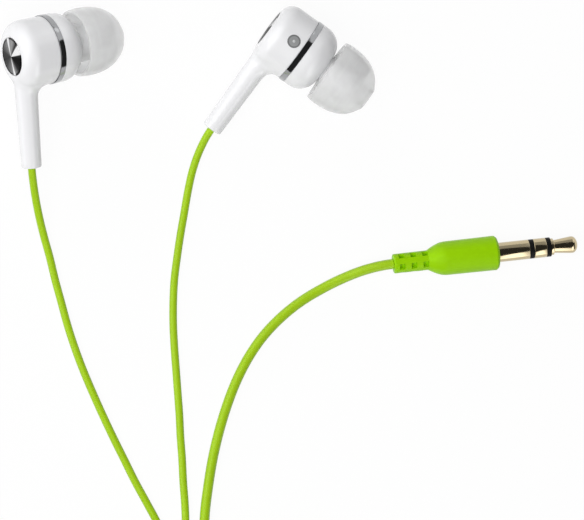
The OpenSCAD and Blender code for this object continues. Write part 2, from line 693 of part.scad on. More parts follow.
module plug_ring_contact() {
    color("khaki") turned([
        [-contact_root, rod_r + stack + press], [-contact_root, rod_r + 2 * stack],
        [ring_x, rod_r + 2 * stack],
        [ring_x, pin_r], [ins_b_x, pin_r], [ins_b_x, rod_r + stack + press]]);
}
module plug_tip_contact() {
    nose_x = pin_x - 1;
    color("khaki") turned(concat(
        [[-contact_root, 0], [-contact_root, rod_r], [tip_x, rod_r], [tip_x, pin_r - tip_edge],
            [tip_x + tip_collar_len, pin_r - tip_edge], [tip_x + tip_collar_len + tip_step, tip_neck_r],
            [nose_x - tip_edge, tip_nose_r]],
        [for (i = [1:arc_steps]) let (a = 90 * i / arc_steps) [nose_x + sin(a), tip_nose_r * cos(a)]]));
}
module plug_insulators() {
    color("black") {
        turned([
            [-contact_root, rod_r + 2 * stack + press], [-contact_root, rod_r + 3 * stack],
            [ins_a_x + press, rod_r + 3 * stack], [ins_a_x + press, pin_r - press],
            [ring_x - press, pin_r - press], [ring_x - press, rod_r + 2 * stack + press]]);
        turned([
            [-contact_root, rod_r + press], [-contact_root, rod_r + stack], [ins_b_x + press, rod_r + stack],
            [ins_b_x + press, pin_r - press], [tip_x - press, pin_r - press],
            [tip_x - press, rod_r + press]]);
    }
}

// Splitter
module splitter_shape() {
    hull() {
        for (side = [-1, 1]) translate([-splitter_len / 2, side * splitter_pitch / 2, 0])
            rotate([0, 90, 0]) cylinder(r = splitter_r - splitter_round, h = splitter_len / 2, $fn = 32);
        for (side = [-1, 1]) translate([splitter_bevel - splitter_len / 2, side * splitter_pitch / 2, 0])
            rotate([0, 90, 0]) cylinder(r = splitter_r, h = splitter_len / 2 - splitter_bevel, $fn = 32);
        translate([splitter_len / 2 - splitter_bevel, 0, 0]) rotate([0, 90, 0])
            cylinder(r1 = splitter_nose_r, r2 = splitter_nose_r - splitter_nose_draft,
                h = splitter_bevel, $fn = 32);
    }
}
module splitter_body() {
    color("yellowgreen") difference() {
        splitter_shape();
        cube([splitter_core_len, splitter_core_w, splitter_core_h] + [1, 1, 1] * 2 * fit, center = true);
        for (side = [-1, 1]) translate([0, side * splitter_pitch / 2, 0])
            rod(-splitter_len / 2 - cut, 0, branch_r + press);
        rod(0, splitter_len / 2 + cut, main_r + press);
    }
}
module splitter_core() {
    color("black") cube([splitter_core_len, splitter_core_w, splitter_core_h], center = true);
}
module splitter_cord_ends() {
    color("yellowgreen") {
        for (side = [-1, 1]) translate([0, side * splitter_pitch / 2, 0])
            rod(-splitter_len / 2, -splitter_core_len / 2 - press, branch_r);
        rod(splitter_core_len / 2 + press, splitter_len / 2, main_r);
    }
}

// Cords
module cord_colour() color("yellowgreen") children();
module left_cord() cord_colour() laid(left_route, branch_r, left_exit_way, south);
module right_cord() cord_colour() laid(right_route, branch_r, right_exit_way, south);
module main_cord() cord_colour() laid(main_route, main_r, plug_exit_way, south);
module left_cord_end() cord_colour() laid(left_tail, branch_r, south, south);
module right_cord_end() cord_colour() laid(right_tail, branch_r, south, south);
module main_cord_end() cord_colour() laid(main_tail, main_r, south, north);
module left_cord_coil() cord_colour() wound(left_coil_path, branch_r, "left coil");
module right_cord_coil() cord_colour() wound(right_coil_path, branch_r, "right coil");
module main_cord_coil() cord_colour() wound(main_coil_path, main_r, "main coil");

// A tie is a flat band standing round a coil's turns, at one side of the coil
module tie(mid, angle, outer_r, step, per_layer, layers, cord_r) {
    inner_turn_r = outer_r - step * per_layer - cord_r;
    inner = sqrt(inner_turn_r * inner_turn_r - tie_w * tie_w / 4) - tie_slack;
    outer = outer_r + cord_r + tie_slack;
    top = coil_z + 2 * cord_r + step * (layers - 1) + tie_slack;
    translate([mid[0], mid[1], 0]) rotate([0, 0, angle]) translate([0, tie_w / 2, 0]) rotate([90, 0, 0])
        linear_extrude(tie_w) difference() {
            translate([inner - tie_t, 0]) square([outer - inner + 2 * tie_t, top + tie_t]);
            translate([inner, tie_t]) square([outer - inner, top - tie_t]);
        }
}
module coil_ties() {
    color("dimgray") {
        tie(branch_coil_mid, 180, branch_coil_r, branch_step, branch_turns / 2, 4, branch_r);
        tie(main_coil_mid, 0, main_coil_r, main_step, main_turns / 4, 4, main_r);
    }
}

// The two earpieces; the left one's side mark faces the other way and has two dots
for (side = ["left", "right"]) at(side == "left" ? left_pose : right_pose) {
    rear_housing(side == "left");
    badge_disc();
    trim_ring();
    front_housing();
    nozzle_mesh();
    ear_tip();
    side_mark(side == "left", side == "left" ? 2 : 1);
    driver_frame();
    driver_magnet_system();
    voice_coil();
    diaphragm();
    surround();
    driver_cover();
    damping_felt();
    terminal_board();
    lead_wires();
    cord_anchor();
    cord_tail();
}
left_cord();
left_cord_coil();
left_cord_end();
right_cord();
right_cord_coil();
right_cord_end();
main_cord();
main_cord_coil();
main_cord_end();
coil_ties();
at(splitter_pose) splitter_body();
at(splitter_pose) splitter_core();
at(splitter_pose) splitter_cord_ends();
at(plug_pose) plug_overmould();
at(plug_pose) plug_core();
at(plug_pose) plug_cord_end();
at(plug_pose) plug_sleeve_contact();
at(plug_pose) plug_ring_contact();
at(plug_pose) plug_tip_contact();
at(plug_pose) plug_insulators();
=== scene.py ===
"""Wired in-ear earphones: white earpieces with silicone tips, green cords, a splitter and a plug.

Sizes are in millimetres in each sub-assembly's own axes, and a Placement turns them into the
frame's metres. An earpiece has +X along its barrel towards the ear tip and -Z down its stem.
The plug has +X along its pin, with the front of its grip at zero.
"""

from __future__ import annotations

import logging
import math
from collections.abc import Mapping, Sequence
from dataclasses import dataclass, field
from enum import Enum

import bpy
import numpy as np
from mathutils import Euler, Matrix, Vector


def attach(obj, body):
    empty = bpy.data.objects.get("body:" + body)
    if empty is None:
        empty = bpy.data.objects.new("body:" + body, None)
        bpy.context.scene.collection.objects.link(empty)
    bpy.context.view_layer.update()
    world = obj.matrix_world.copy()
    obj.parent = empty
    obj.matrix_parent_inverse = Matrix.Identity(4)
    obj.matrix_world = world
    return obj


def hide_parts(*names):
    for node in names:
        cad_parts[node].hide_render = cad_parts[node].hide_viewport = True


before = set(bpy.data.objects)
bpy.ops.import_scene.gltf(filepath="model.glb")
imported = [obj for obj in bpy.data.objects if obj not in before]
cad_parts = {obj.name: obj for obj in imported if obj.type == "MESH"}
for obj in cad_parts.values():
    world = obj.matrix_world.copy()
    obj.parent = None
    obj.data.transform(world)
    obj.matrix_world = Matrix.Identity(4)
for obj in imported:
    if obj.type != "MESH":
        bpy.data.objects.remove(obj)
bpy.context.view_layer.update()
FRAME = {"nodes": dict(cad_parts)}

MM = 0.001
TURN = 2 * math.pi
TINY = 1e-9
SAME = 1e-4
SHARP = 40.0
SOUTH, NORTH = (0.0, -1.0, 0.0), (0.0, 1.0, 0.0)
LOG = logging.getLogger("earphones")
Colour = tuple[float, float, float]
Points = Sequence[Sequence[float]]
Exit = tuple[np.ndarray, np.ndarray]
WHITE: Colour = (1.0, 1.0, 1.0)


# ---- places and surfaces


@dataclass(frozen=True)
class Placement:
    """Where a sub-assembly lies: turned by roll, pitch and heading in degrees, then moved.

    Attributes:
        place: Its origin in the frame, in millimetres.
        turn: Roll about X, pitch about Y and heading about Z, in that order.
    """

    place: tuple[float, float, float] = (0.0, 0.0, 0.0)
    turn: tuple[float, float, float] = (0.0, 0.0, 0.0)

    def euler(self) -> Euler:
        """The turn as Blender holds it."""
        return Euler([math.radians(a) for a in self.turn], "XYZ")

    def points(self, local: np.ndarray) -> np.ndarray:
        """Own points in the frame, in metres: each is turned, moved and scaled.

        Args:
            local: Points in millimetres, one per row.

        Returns:
            The same points in metres in the frame.
        """
        return (local @ np.array(self.euler().to_matrix()).T + self.place) * MM

    def point(self, *local: float) -> np.ndarray:
        """One own point in the frame, in millimetres."""
        return self.points(np.array([local]))[0] / MM

    def way(self, *local: float) -> np.ndarray:
        """An own direction in the frame."""
        return np.array(self.euler().to_matrix()) @ np.array(local, float)


LEVEL = Placement()


def unit(vectors: np.ndarray) -> np.ndarray:
    """Vectors divided by their lengths, along the last axis."""
    return vectors / np.maximum(np.linalg.norm(vectors, axis=-1, keepdims=True), TINY)


def distances(path: np.ndarray) -> np.ndarray:
    """How far along a path each of its points lies: the sum of the steps before it."""
    return np.concatenate([[0], np.cumsum(np.linalg.norm(np.diff(path, axis=0), axis=1))])


@dataclass
class Skin:
    """A closed surface: points, quads, triangles and, where a pattern needs it, a UV per point.

    Attributes:
        points: Points in millimetres, one per row.
        quads: Four point numbers a row.
        triangles: Three point numbers a row.
        uv: Two numbers per point, or None.
    """

    points: np.ndarray
    quads: np.ndarray
    triangles: np.ndarray = field(default_factory=lambda: np.zeros((0, 3), int))
    uv: np.ndarray | None = None

    def outward(self) -> Skin:
        """The skin with its faces outwards.

        The volume is a sixth of the sum of a . (b x c) over all triangles, and a negative one
        means that every face is turned round.

        Returns:
            This skin, or one with each face's points in the other order.
        """
        halves = [self.quads[:, [0, 1, 2]], self.quads[:, [0, 2, 3]], self.triangles]
        a, b, c = (self.points[np.concatenate(halves)[:, k]] for k in range(3))
        if np.einsum("ij,ij->", a, np.cross(b, c)) >= 0:
            return self
        return Skin(self.points, self.quads[:, ::-1], self.triangles[:, ::-1], self.uv)

    def joined(self, *others: Skin) -> Skin:
        """This skin and others as one: their points follow each other.

        Args:
            others: The skins that follow this one.

        Returns:
            One skin, without UVs.
        """
        skins = [self, *others]
        starts = np.cumsum([0] + [len(s.points) for s in skins[:-1]])
        return Skin(
            np.concatenate([s.points for s in skins]),
            np.concatenate([s.quads + n for s, n in zip(skins, starts)]),
            np.concatenate([s.triangles + n for s, n in zip(skins, starts)]),
        )


def lattice(rows: int, columns: int, close_rows: bool, close_columns: bool) -> np.ndarray:
    """Quads of a grid whose points are numbered row by row.

    Args:
        rows: How many rows of points there are.
        columns: How many points a row has.
        close_rows: Whether the last row joins the first.
        close_columns: Whether each row is a ring.

    Returns:
        Four point numbers for each quad.
    """
    row = np.arange(rows if close_rows else rows - 1)[:, None]
    column = np.arange(columns if close_columns else columns - 1)
    a, b = row * columns + column, row * columns + (column + 1) % columns
    up = ((row + 1) % rows - row) * columns
    return np.stack([a, b, b + up, a + up], -1).reshape(-1, 4)


def fan(ring: np.ndarray, middle: int) -> np.ndarray:
    """Triangles from a ring of point numbers to one middle point."""
    return np.stack([ring, np.roll(ring, -1), np.full(len(ring), middle)], -1)


def eased(outline: np.ndarray, radius: float | Sequence[float], steps: int = 4) -> np.ndarray:
    """An outline with its corners rounded.

    At each corner an arc of the radius touches both sides: it starts and ends at the radius
    over the tangent of half the inside angle from the corner, or at 0.45 of the shorter side,
    and its middle lies on the bisector. Points that fall together are left out.

    Args:
        outline: Corners, two numbers a row, taken as a closed loop.
        radius: One radius for all corners, or one for each.
        steps: How many pieces each arc has.

    Returns:
        The points of the rounded outline in order.
    """
    back, ahead = np.roll(outline, 1, 0) - outline, np.roll(outline, -1, 0) - outline
    room = 0.45 * np.minimum(np.linalg.norm(back, axis=1), np.linalg.norm(ahead, axis=1))
    u, v = unit(back), unit(ahead)
    half = np.arccos(np.clip((u * v).sum(1), -1, 1)) / 2
    slope = np.tan(np.clip(half, 1e-3, math.pi / 2 - 1e-3))
    reach = np.minimum(np.broadcast_to(radius, len(outline)) / slope, room)[:, None]
    share = np.linspace(0, 1, steps + 1)[None, :, None]
    bow = (1 - share) ** 2 * reach[..., None] * u[:, None]
    bow = bow + share**2 * reach[..., None] * v[:, None]
    curve = (outline[:, None] + bow).reshape(-1, outline.shape[1])
    apart = np.linalg.norm(curve - np.roll(curve, 1, 0), axis=1) > SAME
    return curve[apart]


def arc(mid: Sequence[float], radius: float, first: float, last: float, steps: int) -> np.ndarray:
    """Points of an arc: the middle plus the radius times cosine and sine of even angles.

    Args:
        mid: Its middle.
        radius: Its radius.
        first: The angle of the first point, in degrees.
        last: The angle of the last point.
        steps: How many pieces it has.

    Returns:
        The points in order, two numbers a row.
    """
    angle = np.radians(np.linspace(first, last, steps + 1))
    return np.array(mid) + radius * np.stack([np.cos(angle), np.sin(angle)], -1)


def about_x(x: np.ndarray, radius: np.ndarray, angle: np.ndarray) -> np.ndarray:
    """Points round X: [x, r cos a, r sin a]."""
    return np.stack(np.broadcast_arrays(x, radius * np.cos(angle), radius * np.sin(angle)), -1)


def end_fans(rows: int, columns: int) -> np.ndarray:
    """Triangles from a grid's first and last ring to the two points after it.

    Args:
        rows: How many rings the grid has.
        columns: How many points a ring has.

    Returns:
        Three point numbers for each triangle.
    """
    count = rows * columns
    first, last = np.arange(columns)[::-1], np.arange(count - columns, count)
    return np.concatenate([fan(first, count), fan(last, count + 1)])


def capped(rings: np.ndarray, ends: Points, uv: np.ndarray | None = None) -> Skin:
    """Rings joined in their order, with each end closed by a fan to its end point.

    Args:
        rings: Rows of rings, each a row of points.
        ends: The point that closes the first ring and the one that closes the last.
        uv: Two numbers per point, or None.

    Returns:
        The closed skin.
    """
    rows, columns = rings.shape[:2]
    points = np.concatenate([rings.reshape(-1, 3), ends])
    return Skin(points, lattice(rows, columns, False, True), end_fans(rows, columns), uv).outward()


def turned(outline: np.ndarray, sides: int = 96) -> Skin:
    """A piece turned about X: each outline point [x, r] becomes a ring of that radius.

    An outline that starts and ends on the axis is closed there by fans, and any other is taken
    as a closed loop.

    Args:
        outline: Distance along the axis and radius, one point a row.
        sides: How many points a ring has.

    Returns:
        The closed skin.
    """
    poles = outline[0, 1] < TINY and outline[-1, 1] < TINY
    body = outline[1:-1] if poles else outline
    rings = about_x(body[:, :1], body[:, 1:], np.arange(sides) * TURN / sides)
    if poles:
        return capped(rings, [(outline[0, 0], 0, 0), (outline[-1, 0], 0, 0)])
    return Skin(rings.reshape(-1, 3), lattice(len(body), sides, True, True)).outward()


def swept(
    path: np.ndarray, side: np.ndarray, up: np.ndarray, profile: np.ndarray, closed: bool
) -> Skin:
    """A profile carried along a path: point + side times its first number + up times its second.

    The UV of a point is the distance along the path in millimetres and the share of the way
    round the profile.

    Args:
        path: Points of the path.
        side: The direction of the profile's first number, one for each path point.
        up: The direction of its second number.
        profile: The profile's points in order, two numbers a row.
        closed: Whether the path joins its own start; otherwise both ends are capped.

    Returns:
        The closed skin.
    """
    rings = path[:, None] + side[:, None] * profile[:, :1] + up[:, None] * profile[:, 1:]
    along = distances(path)
    share = np.arange(len(profile)) / len(profile)
    uv = np.stack(np.broadcast_arrays(along[:, None], share), -1).reshape(-1, 2)
    if closed:
        quads = lattice(len(path), len(profile), True, True)
        return Skin(rings.reshape(-1, 3), quads, uv=uv).outward()
    return capped(rings, path[[0, -1]], np.concatenate([uv, [[0, 0.5], [along[-1], 0.5]]]))


def tube(path: np.ndarray, radius: float, sides: int) -> Skin:
    """A round tube along a path that is nowhere upright, with its ends closed.

    Args:
        path: Points of its middle line.
        radius: Its radius.
        sides: How many sides it has.

    Returns:
        The closed skin.
    """
    ahead = unit(np.gradient(path, axis=0))
    side = unit(np.cross(ahead, [0.0, 0.0, 1.0]))
    circle = arc((0, 0), radius, 0, 360 * (1 - 1 / sides), sides - 1)
    return swept(path, side, np.cross(side, ahead), circle, False)


# ---- shader sockets


@dataclass(eq=False)
class Socket:
    """One output of a node. Python's operators on it add Math nodes.

    Attributes:
        graph: The graph, where new nodes go.
        output: The node's output socket.
    """

    graph: Graph
    output: bpy.types.NodeSocket

    def math(self, operation: str, *values: Socket | float) -> Socket:
        """A Math node on the values."""
        return self.graph.node("ShaderNodeMath", {"operation": operation}, dict(enumerate(values)))

    def __add__(self, other: Socket | float) -> Socket:
        """self + other"""
        return self.math("ADD", self, other)

    def __radd__(self, other: float) -> Socket:
        """other + self"""
        return self.math("ADD", other, self)

    def __sub__(self, other: Socket | float) -> Socket:
        """self - other"""
        return self.math("SUBTRACT", self, other)

    def __rsub__(self, other: float) -> Socket:
        """other - self"""
        return self.math("SUBTRACT", other, self)

    def __mul__(self, other: Socket | float) -> Socket:
        """self * other"""
        return self.math("MULTIPLY", self, other)

    def __rmul__(self, other: float) -> Socket:
        """other * self"""
        return self.math("MULTIPLY", other, self)

    def __truediv__(self, other: Socket | float) -> Socket:
        """self / other"""
        return self.math("DIVIDE", self, other)

    def __rtruediv__(self, other: float) -> Socket:
        """other / self"""
        return self.math("DIVIDE", other, self)

    def __pow__(self, other: Socket | float) -> Socket:
        """self ** other"""
        return self.math("POWER", self, other)

    def __rpow__(self, other: float) -> Socket:
        """other ** self"""
        return self.math("POWER", other, self)

    def __abs__(self) -> Socket:
        """abs(self)"""
        return self.math("ABSOLUTE", self)

    def sine(self) -> Socket:
        """sin(self), in radians"""
        return self.math("SINE", self)

    def cosine(self) -> Socket:
        """cos(self), in radians"""
        return self.math("COSINE", self)

    def most(self, other: Socket | float) -> Socket:
        """The greater of self and other"""
        return self.math("MAXIMUM", self, other)


class Graph:
    """The node tree of one material or world."""

    def __init__(self, owner: bpy.types.Material | bpy.types.World) -> None:
        """Empties the owner's node tree.

        Args:
            owner: The material or world.
        """
        owner.use_nodes = True
        self.tree = owner.node_tree
        self.tree.nodes.clear()

    def node(
        self,
        kind: str,
        settings: Mapping[str, object] | None = None,
        sockets: Mapping[str | int, object] | None = None,
        output: str | int | None = 0,
    ) -> Socket | None:
        """Adds a node.

        Args:
            kind: The node's type.
            settings: Its settings, set first; "stops" are a ramp's (place, colour) pairs.
            sockets: Its inputs by name or number, each a Socket to link or a value.
            output: The output to hand back, or None for a node without any.

        Returns:
            That output.
        """
        made = self.tree.nodes.new(kind)
        for name, setting in (settings or {}).items():
            if name == "stops":
                ramp = made.color_ramp
                for place, _ in setting[1:-1]:
                    ramp.elements.new(place)
                for element, (place, colour) in zip(ramp.elements, setting):
                    element.position, element.color = place, (*colour, 1.0)
            else:
                setattr(made, name, setting)
        for key, value in (sockets or {}).items():
            if isinstance(value, Socket):
                self.tree.links.new(value.output, made.inputs[key])
            elif isinstance(value, tuple) and len(made.inputs[key].default_value) == 4:
                made.inputs[key].default_value = (*value, 1.0)
            else:
                made.inputs[key].default_value = value
        return None if output is None else Socket(self, made.outputs[output])

    def own_place(self, lie: Placement) -> Socket:
        """A point's own coordinates in its sub-assembly.

        Args:
            lie: Where the sub-assembly lies.

        Returns:
            The coordinates in millimetres.
        """
        at = self.node("ShaderNodeTexCoord", output="Object")
        back = {
            "Vector": at,
            "Location": tuple(c * MM for c in lie.place),
            "Rotation": tuple(math.radians(a) for a in lie.turn),
            "Scale": (MM, MM, MM),
        }
        return self.node("ShaderNodeMapping", {"vector_type": "TEXTURE"}, back)

    def split(self, vector: Socket) -> tuple[Socket, Socket, Socket]:
        """A vector's three numbers."""
        x = self.node("ShaderNodeSeparateXYZ", sockets={0: vector})
        return (x, *self.outputs(x, "Y", "Z"))

    def polar(self, at: Socket) -> tuple[Socket, Socket]:
        """A point's angle about X, from Y to Z, and its distance from X."""
        _, y, z = self.split(at)
        return z.math("ARCTAN2", z, y), (y * y + z * z) ** 0.5

    def vector(self, x: Socket | float, y: Socket | float, z: Socket | float) -> Socket:
        """A vector from three numbers."""
        return self.node("ShaderNodeCombineXYZ", sockets={0: x, 1: y, 2: z})

    def ringed(self, angle: Socket, third: Socket) -> Socket:
        """Coordinates that meet themselves after a turn: cos a, sin a and a third number."""
        return self.vector(angle.cosine(), angle.sine(), third)

    def noise(self, at: Socket, scale: float, detail: float = 3.0) -> Socket:
        """Noise from 0 to 1 with scale cells to the unit of its coordinates."""
        values = {"Vector": at, "Scale": scale, "Detail": detail}
        return self.node("ShaderNodeTexNoise", sockets=values)

    def stretched(self, at: Socket, scale: Sequence[float]) -> Socket:
        """Coordinates times three scales."""
        values = {0: at, 1: tuple(scale)}
        return self.node("ShaderNodeVectorMath", {"operation": "MULTIPLY"}, values)

    def mix(
        self, factor: Socket | float, first: object, second: object, blend: str = "MIX"
    ) -> Socket:
        """A colour between two, by the factor."""
        settings = {"data_type": "RGBA", "blend_type": blend}
        return self.node("ShaderNodeMix", settings, {0: factor, 6: first, 7: second}, 2)

    def step(self, value: Socket, low: float, high: float) -> Socket:
        """0 below low, 1 above high and smooth between."""
        values = {0: value, 1: low, 2: high}
        return self.node("ShaderNodeMapRange", {"interpolation_type": "SMOOTHSTEP"}, values)

    def bump(self, height: Socket, depth_mm: float, strength: float = 1.0) -> Socket:
        """A normal from a height of 0 to 1 that stands for depth_mm."""
        values = {"Height": height, "Distance": depth_mm * MM, "Strength": strength}
        return self.node("ShaderNodeBump", sockets=values)

    def principled(
        self,
        colour: Socket,
        roughness: Socket | float,
        normal: Socket,
        others: Mapping[str, object] | None = None,
    ) -> Socket:
        """A Principled shader.

        Args:
            colour: Its base colour.
            roughness: Its roughness.
            normal: Its normal.
            others: Other sockets by name.

        Returns:
            The shader.
        """
        sockets = {"Base Color": colour, "Roughness": roughness, "Normal": normal, **(others or {})}
        return self.node("ShaderNodeBsdfPrincipled", sockets=sockets)

    def outputs(self, first: Socket, *names: str) -> list[Socket]:
        """Other outputs of the node that an output belongs to."""
        return [Socket(self, first.output.node.outputs[name]) for name in names]

    def show(self, shader: Socket, kind: str = "ShaderNodeOutputMaterial") -> None:
        """Sends the shader to the owner's surface."""
        self.node(kind, sockets={"Surface": shader}, output=None)


def placed(name: str, data: bpy.types.ID) -> bpy.types.Object:
    """A new object in the scene.

    Args:
        name: Its name.
        data: Its mesh, camera or lamp.

    Returns:
        The object.
    """
    made = bpy.data.objects.new(name, data)
    bpy.context.scene.collection.objects.link(made)
    return made


def shade_of(colour: Colour, level: float) -> Colour:
    """A colour made lighter or darker by a factor."""
    return tuple(min(1.0, c * level) for c in colour)


# ---- finishes


@dataclass(frozen=True)
class Finish:
    """What every finish has.

    Attributes:
        slot: The name that its materials' names start with.
        colour: Its main colour.
        roughness: How matt it is, from 0 to 1.
    """

    slot: str
    colour: Colour
    roughness: float

    def material(self, name: str, lie: Placement) -> bpy.types.Material:
        """Makes the material for one sub-assembly.

        Args:
            name: The material's name.
            lie: Where the sub-assembly lies.

        Returns:
            The material.
        """
        made = bpy.data.materials.new(name)
        graph = Graph(made)
        graph.show(self.shade(graph, graph.own_place(lie)))
        return made

    def tinted(self, graph: Graph, factor: Socket | float, low: float, high: float) -> Socket:
        """The main colour from a low to a high level of it, by the factor."""
        return graph.mix(factor, shade_of(self.colour, low), shade_of(self.colour, high))

    def shade(self, graph: Graph, at: Socket) -> Socket:
        """Builds the finish's shader.

        Args:
            graph: The material's graph.
            at: The point's own coordinates in millimetres.

        Returns:
            The shader.
        """
        raise NotImplementedError


@dataclass(frozen=True)
class GlossPlastic(Finish):
    """Polished injection-moulded plastic: faint flow marks, finger haze and orange peel.

    Attributes:
        haze: How much rougher the handled patches are.
        peel: The depth of the orange peel in millimetres.
        coat: The weight of the clear gloss on top.
    """

    haze: float = 0.07
    peel: float = 0.001
    coat: float = 0.25

    def shade(self, graph: Graph, at: Socket) -> Socket:
        """Flow marks tint the colour, haze the roughness and peel the normal.

        Args:
            graph: Its graph.
            at: Own coordinates.

        Returns:
            The shader.
        """
        flow = graph.noise(graph.stretched(at, (0.25, 0.25, 0.09)), 1.0, 4.0)
        haze = graph.step(graph.noise(at, 0.45, 5.0), 0.42, 0.68)
        peel = graph.noise(at, 1.6, 2.0)
        return graph.principled(
            self.tinted(graph, flow, 0.965, 1.0),
            self.roughness + haze * self.haze,
            graph.bump(peel, self.peel),
            {"IOR": 1.49, "Coat Weight": self.coat, "Coat Roughness": 0.05},
        )


class Pattern(Enum):
    """What a soft plastic's pattern follows."""

    PLACE = "own coordinates"
    LENGTH = "the way along a cord"


@dataclass(frozen=True)
class SoftPlastic(Finish):
    """Soft vinyl or rubbery plastic: spark-eroded grain, mottling and, on a cord, drawn lines.

    Attributes:
        grain: The depth of the grain in millimetres.
        pattern: What the pattern follows.
        gloss: The level of the shine.
    """

    grain: float = 0.012
    pattern: Pattern = Pattern.PLACE
    gloss: float = 0.07

    def shade(self, graph: Graph, at: Socket) -> Socket:
        """Mottling tints the colour, and grain or drawn lines make the roughness and normal.

        Args:
            graph: Its graph.
            at: Own coordinates.

        Returns:
            The shader.
        """
        if self.pattern is Pattern.LENGTH:
            along, around, _ = graph.split(graph.node("ShaderNodeTexCoord", output="UV"))
            grain = graph.noise(graph.ringed(around * TURN, along * 0.035), 5.5, 2.0)
            mottle = graph.noise(graph.vector(along * 0.12, 0.0, 0.0), 1.0, 4.0)
        else:
            grain = graph.noise(at, 7.0, 2.0)
            mottle = graph.noise(at, 0.7, 4.0)
        colour = self.tinted(graph, mottle, 0.9, 1.08)
        return graph.principled(
            graph.mix(grain * 0.25, colour, shade_of(self.colour, 0.8)),
            self.roughness + grain * 0.12,
            graph.bump(grain, self.grain, 0.8),
            {"Specular IOR Level": self.gloss},
        )


@dataclass(frozen=True)
class SpunMetal(Finish):
    """A faced metal disc about X: fine rings, painted reflections as bright and dark wedges out
    from the middle, and painted shade in streaks and at the rim.

    Attributes:
        wedges: How bright the metal is painted by the angle about X from -Y, as shares of a turn:
            painted reflections.
        ring_pitch: The distance between the rings in millimetres.
        rim_r: The radius from which painted shade makes the metal darker.
    """

    wedges: tuple[tuple[float, float], ...]
    ring_pitch: float = 0.16
    rim_r: float = 3.1

    def shade(self, graph: Graph, at: Socket) -> Socket:
        """The painted reflections are a ramp on the angle, and noise round the disc breaks them up
        with painted shade streaks.

        Args:
            graph: Its graph.
            at: Own coordinates.

        Returns:
            The shader.
        """
        angle, radius = graph.polar(at)
        streaks = graph.noise(graph.ringed(angle, radius * 0.02), 11.0, 4.0)
        # painted reflections: bright and dark wedges of the colour by the angle about X
        stops = [(place, shade_of(self.colour, level)) for place, level in self.wedges]
        turn = angle / TURN + 0.5 + (streaks - 0.5) * 0.02
        wedge = graph.node("ShaderNodeValToRGB", {"stops": stops}, {0: turn})
        rim = graph.step(radius, self.rim_r - 0.15, self.rim_r + 0.1)
        # painted shade: darker streaks where the noise round the disc is high
        wear_and_streak_shade = graph.step(streaks, 0.35, 0.75) * 0.45
        # painted shade over the rim and the streaks, left out where the painted highlight is bright
        painted_shade = wear_and_streak_shade.most(rim) * (1 - graph.step(wedge, 0.45, 0.75))
        dark = graph.mix(1.0, wedge, (0.2, 0.2, 0.2), "MULTIPLY")
        return graph.principled(
            graph.mix(painted_shade, wedge, dark),
            self.roughness + streaks * 0.12,
            graph.bump((radius * (TURN / self.ring_pitch)).sine(), 0.001),
            {"Metallic": 1.0, "Specular Tint": (0.45, 0.45, 0.45)},
        )


@dataclass(frozen=True)
class TurnedMetal(Finish):
    """Plated metal turned about X: fine lines round the axis, and thinner plating in places.

    Attributes:
        wear_and_streak_shade: The colour where the plating is thin.
        lines: The depth of the turning lines in millimetres.
    """

    wear_and_streak_shade: Colour = (0.5, 0.5, 0.5)
    lines: float = 0.0015

    def shade(self, graph: Graph, at: Socket) -> Socket:
        """Lines are noise that changes fast along the axis and slowly round it.

        Args:
            graph: Its graph.
            at: Own coordinates.

        Returns:
            The shader.
        """
        lines = graph.noise(graph.stretched(at, (14.0, 0.4, 0.4)), 1.0, 3.0)
        wear = graph.step(graph.noise(at, 0.9, 5.0), 0.5, 0.72)
        return graph.principled(
            graph.mix(wear * 0.6, self.colour, self.wear_and_streak_shade),
            self.roughness + lines * 0.08 + wear * 0.05,
            graph.bump(lines, self.lines),
            {"Metallic": 1.0},
        )


@dataclass(frozen=True)
class Silicone(Finish):
    """Milky see-through silicone with a soft bloom, faint flow bands and dust.

    Attributes:
        cover: How much of what is behind one skin hides.
        bands: How much the bands change that.
        glow: The share of the light stopped by a skin that still gets through it.
        inward: How far light scatters inside it in millimetres.
    """

    cover: float = 0.4
    bands: float = 0.16
    glow: float = 0.8
    inward: float = 0.5

    def shade(self, graph: Graph, at: Socket) -> Socket:
        """Bloom tints the colour and roughness, and bands round the axis change the cover.

        A skin scatters light inwards, so it casts less shadow than its cover.

        Args:
            graph: Its graph.
            at: Own coordinates.

        Returns:
            The shader.
        """
        bloom = graph.noise(at, 0.5, 4.0)
        skin = graph.noise(at, 4.0, 2.0)
        bands = graph.noise(graph.stretched(at, (1.1, 0.1, 0.1)), 1.0, 3.0)
        lit = graph.node("ShaderNodeLightPath", output="Is Shadow Ray")
        cover = self.cover + (bands - 0.5) * self.bands
        others = {
            "IOR": 1.41,
            "Alpha": cover * (1 - lit * self.glow),
            "Subsurface Weight": 0.35,
            "Subsurface Radius": WHITE,
            "Subsurface Scale": self.inward * MM,
        }
        colour, normal = self.tinted(graph, bloom, 0.9, 1.1), graph.bump(skin, 0.003)
        return graph.principled(colour, self.roughness + bloom * 0.1, normal, others)


@dataclass(frozen=True)
class MarkPlastic(Finish):
    """The side mark's satin plastic, darker on its rim and paler on its raised dots.

    The UV's first number is the share of the way out and its second is 1 on a dot.
    """

    def shade(self, graph: Graph, at: Socket) -> Socket:
        """The rim is the outer part of the share out, and grain breaks up the rest.

        Args:
            graph: Its graph.
            at: Own coordinates.

        Returns:
            The shader.
        """
        out, raised, _ = graph.split(graph.node("ShaderNodeTexCoord", output="UV"))
        rim = graph.step(out, 0.72, 0.8)
        grain = graph.noise(at, 6.0, 3.0)
        face = self.tinted(graph, grain, 0.85, 1.1)
        rimmed = graph.mix(rim, face, shade_of(self.colour, 0.55))
        colour = graph.mix(raised, rimmed, shade_of(self.colour, 1.9))
        return graph.principled(colour, self.roughness + grain * 0.1, graph.bump(grain, 0.006))


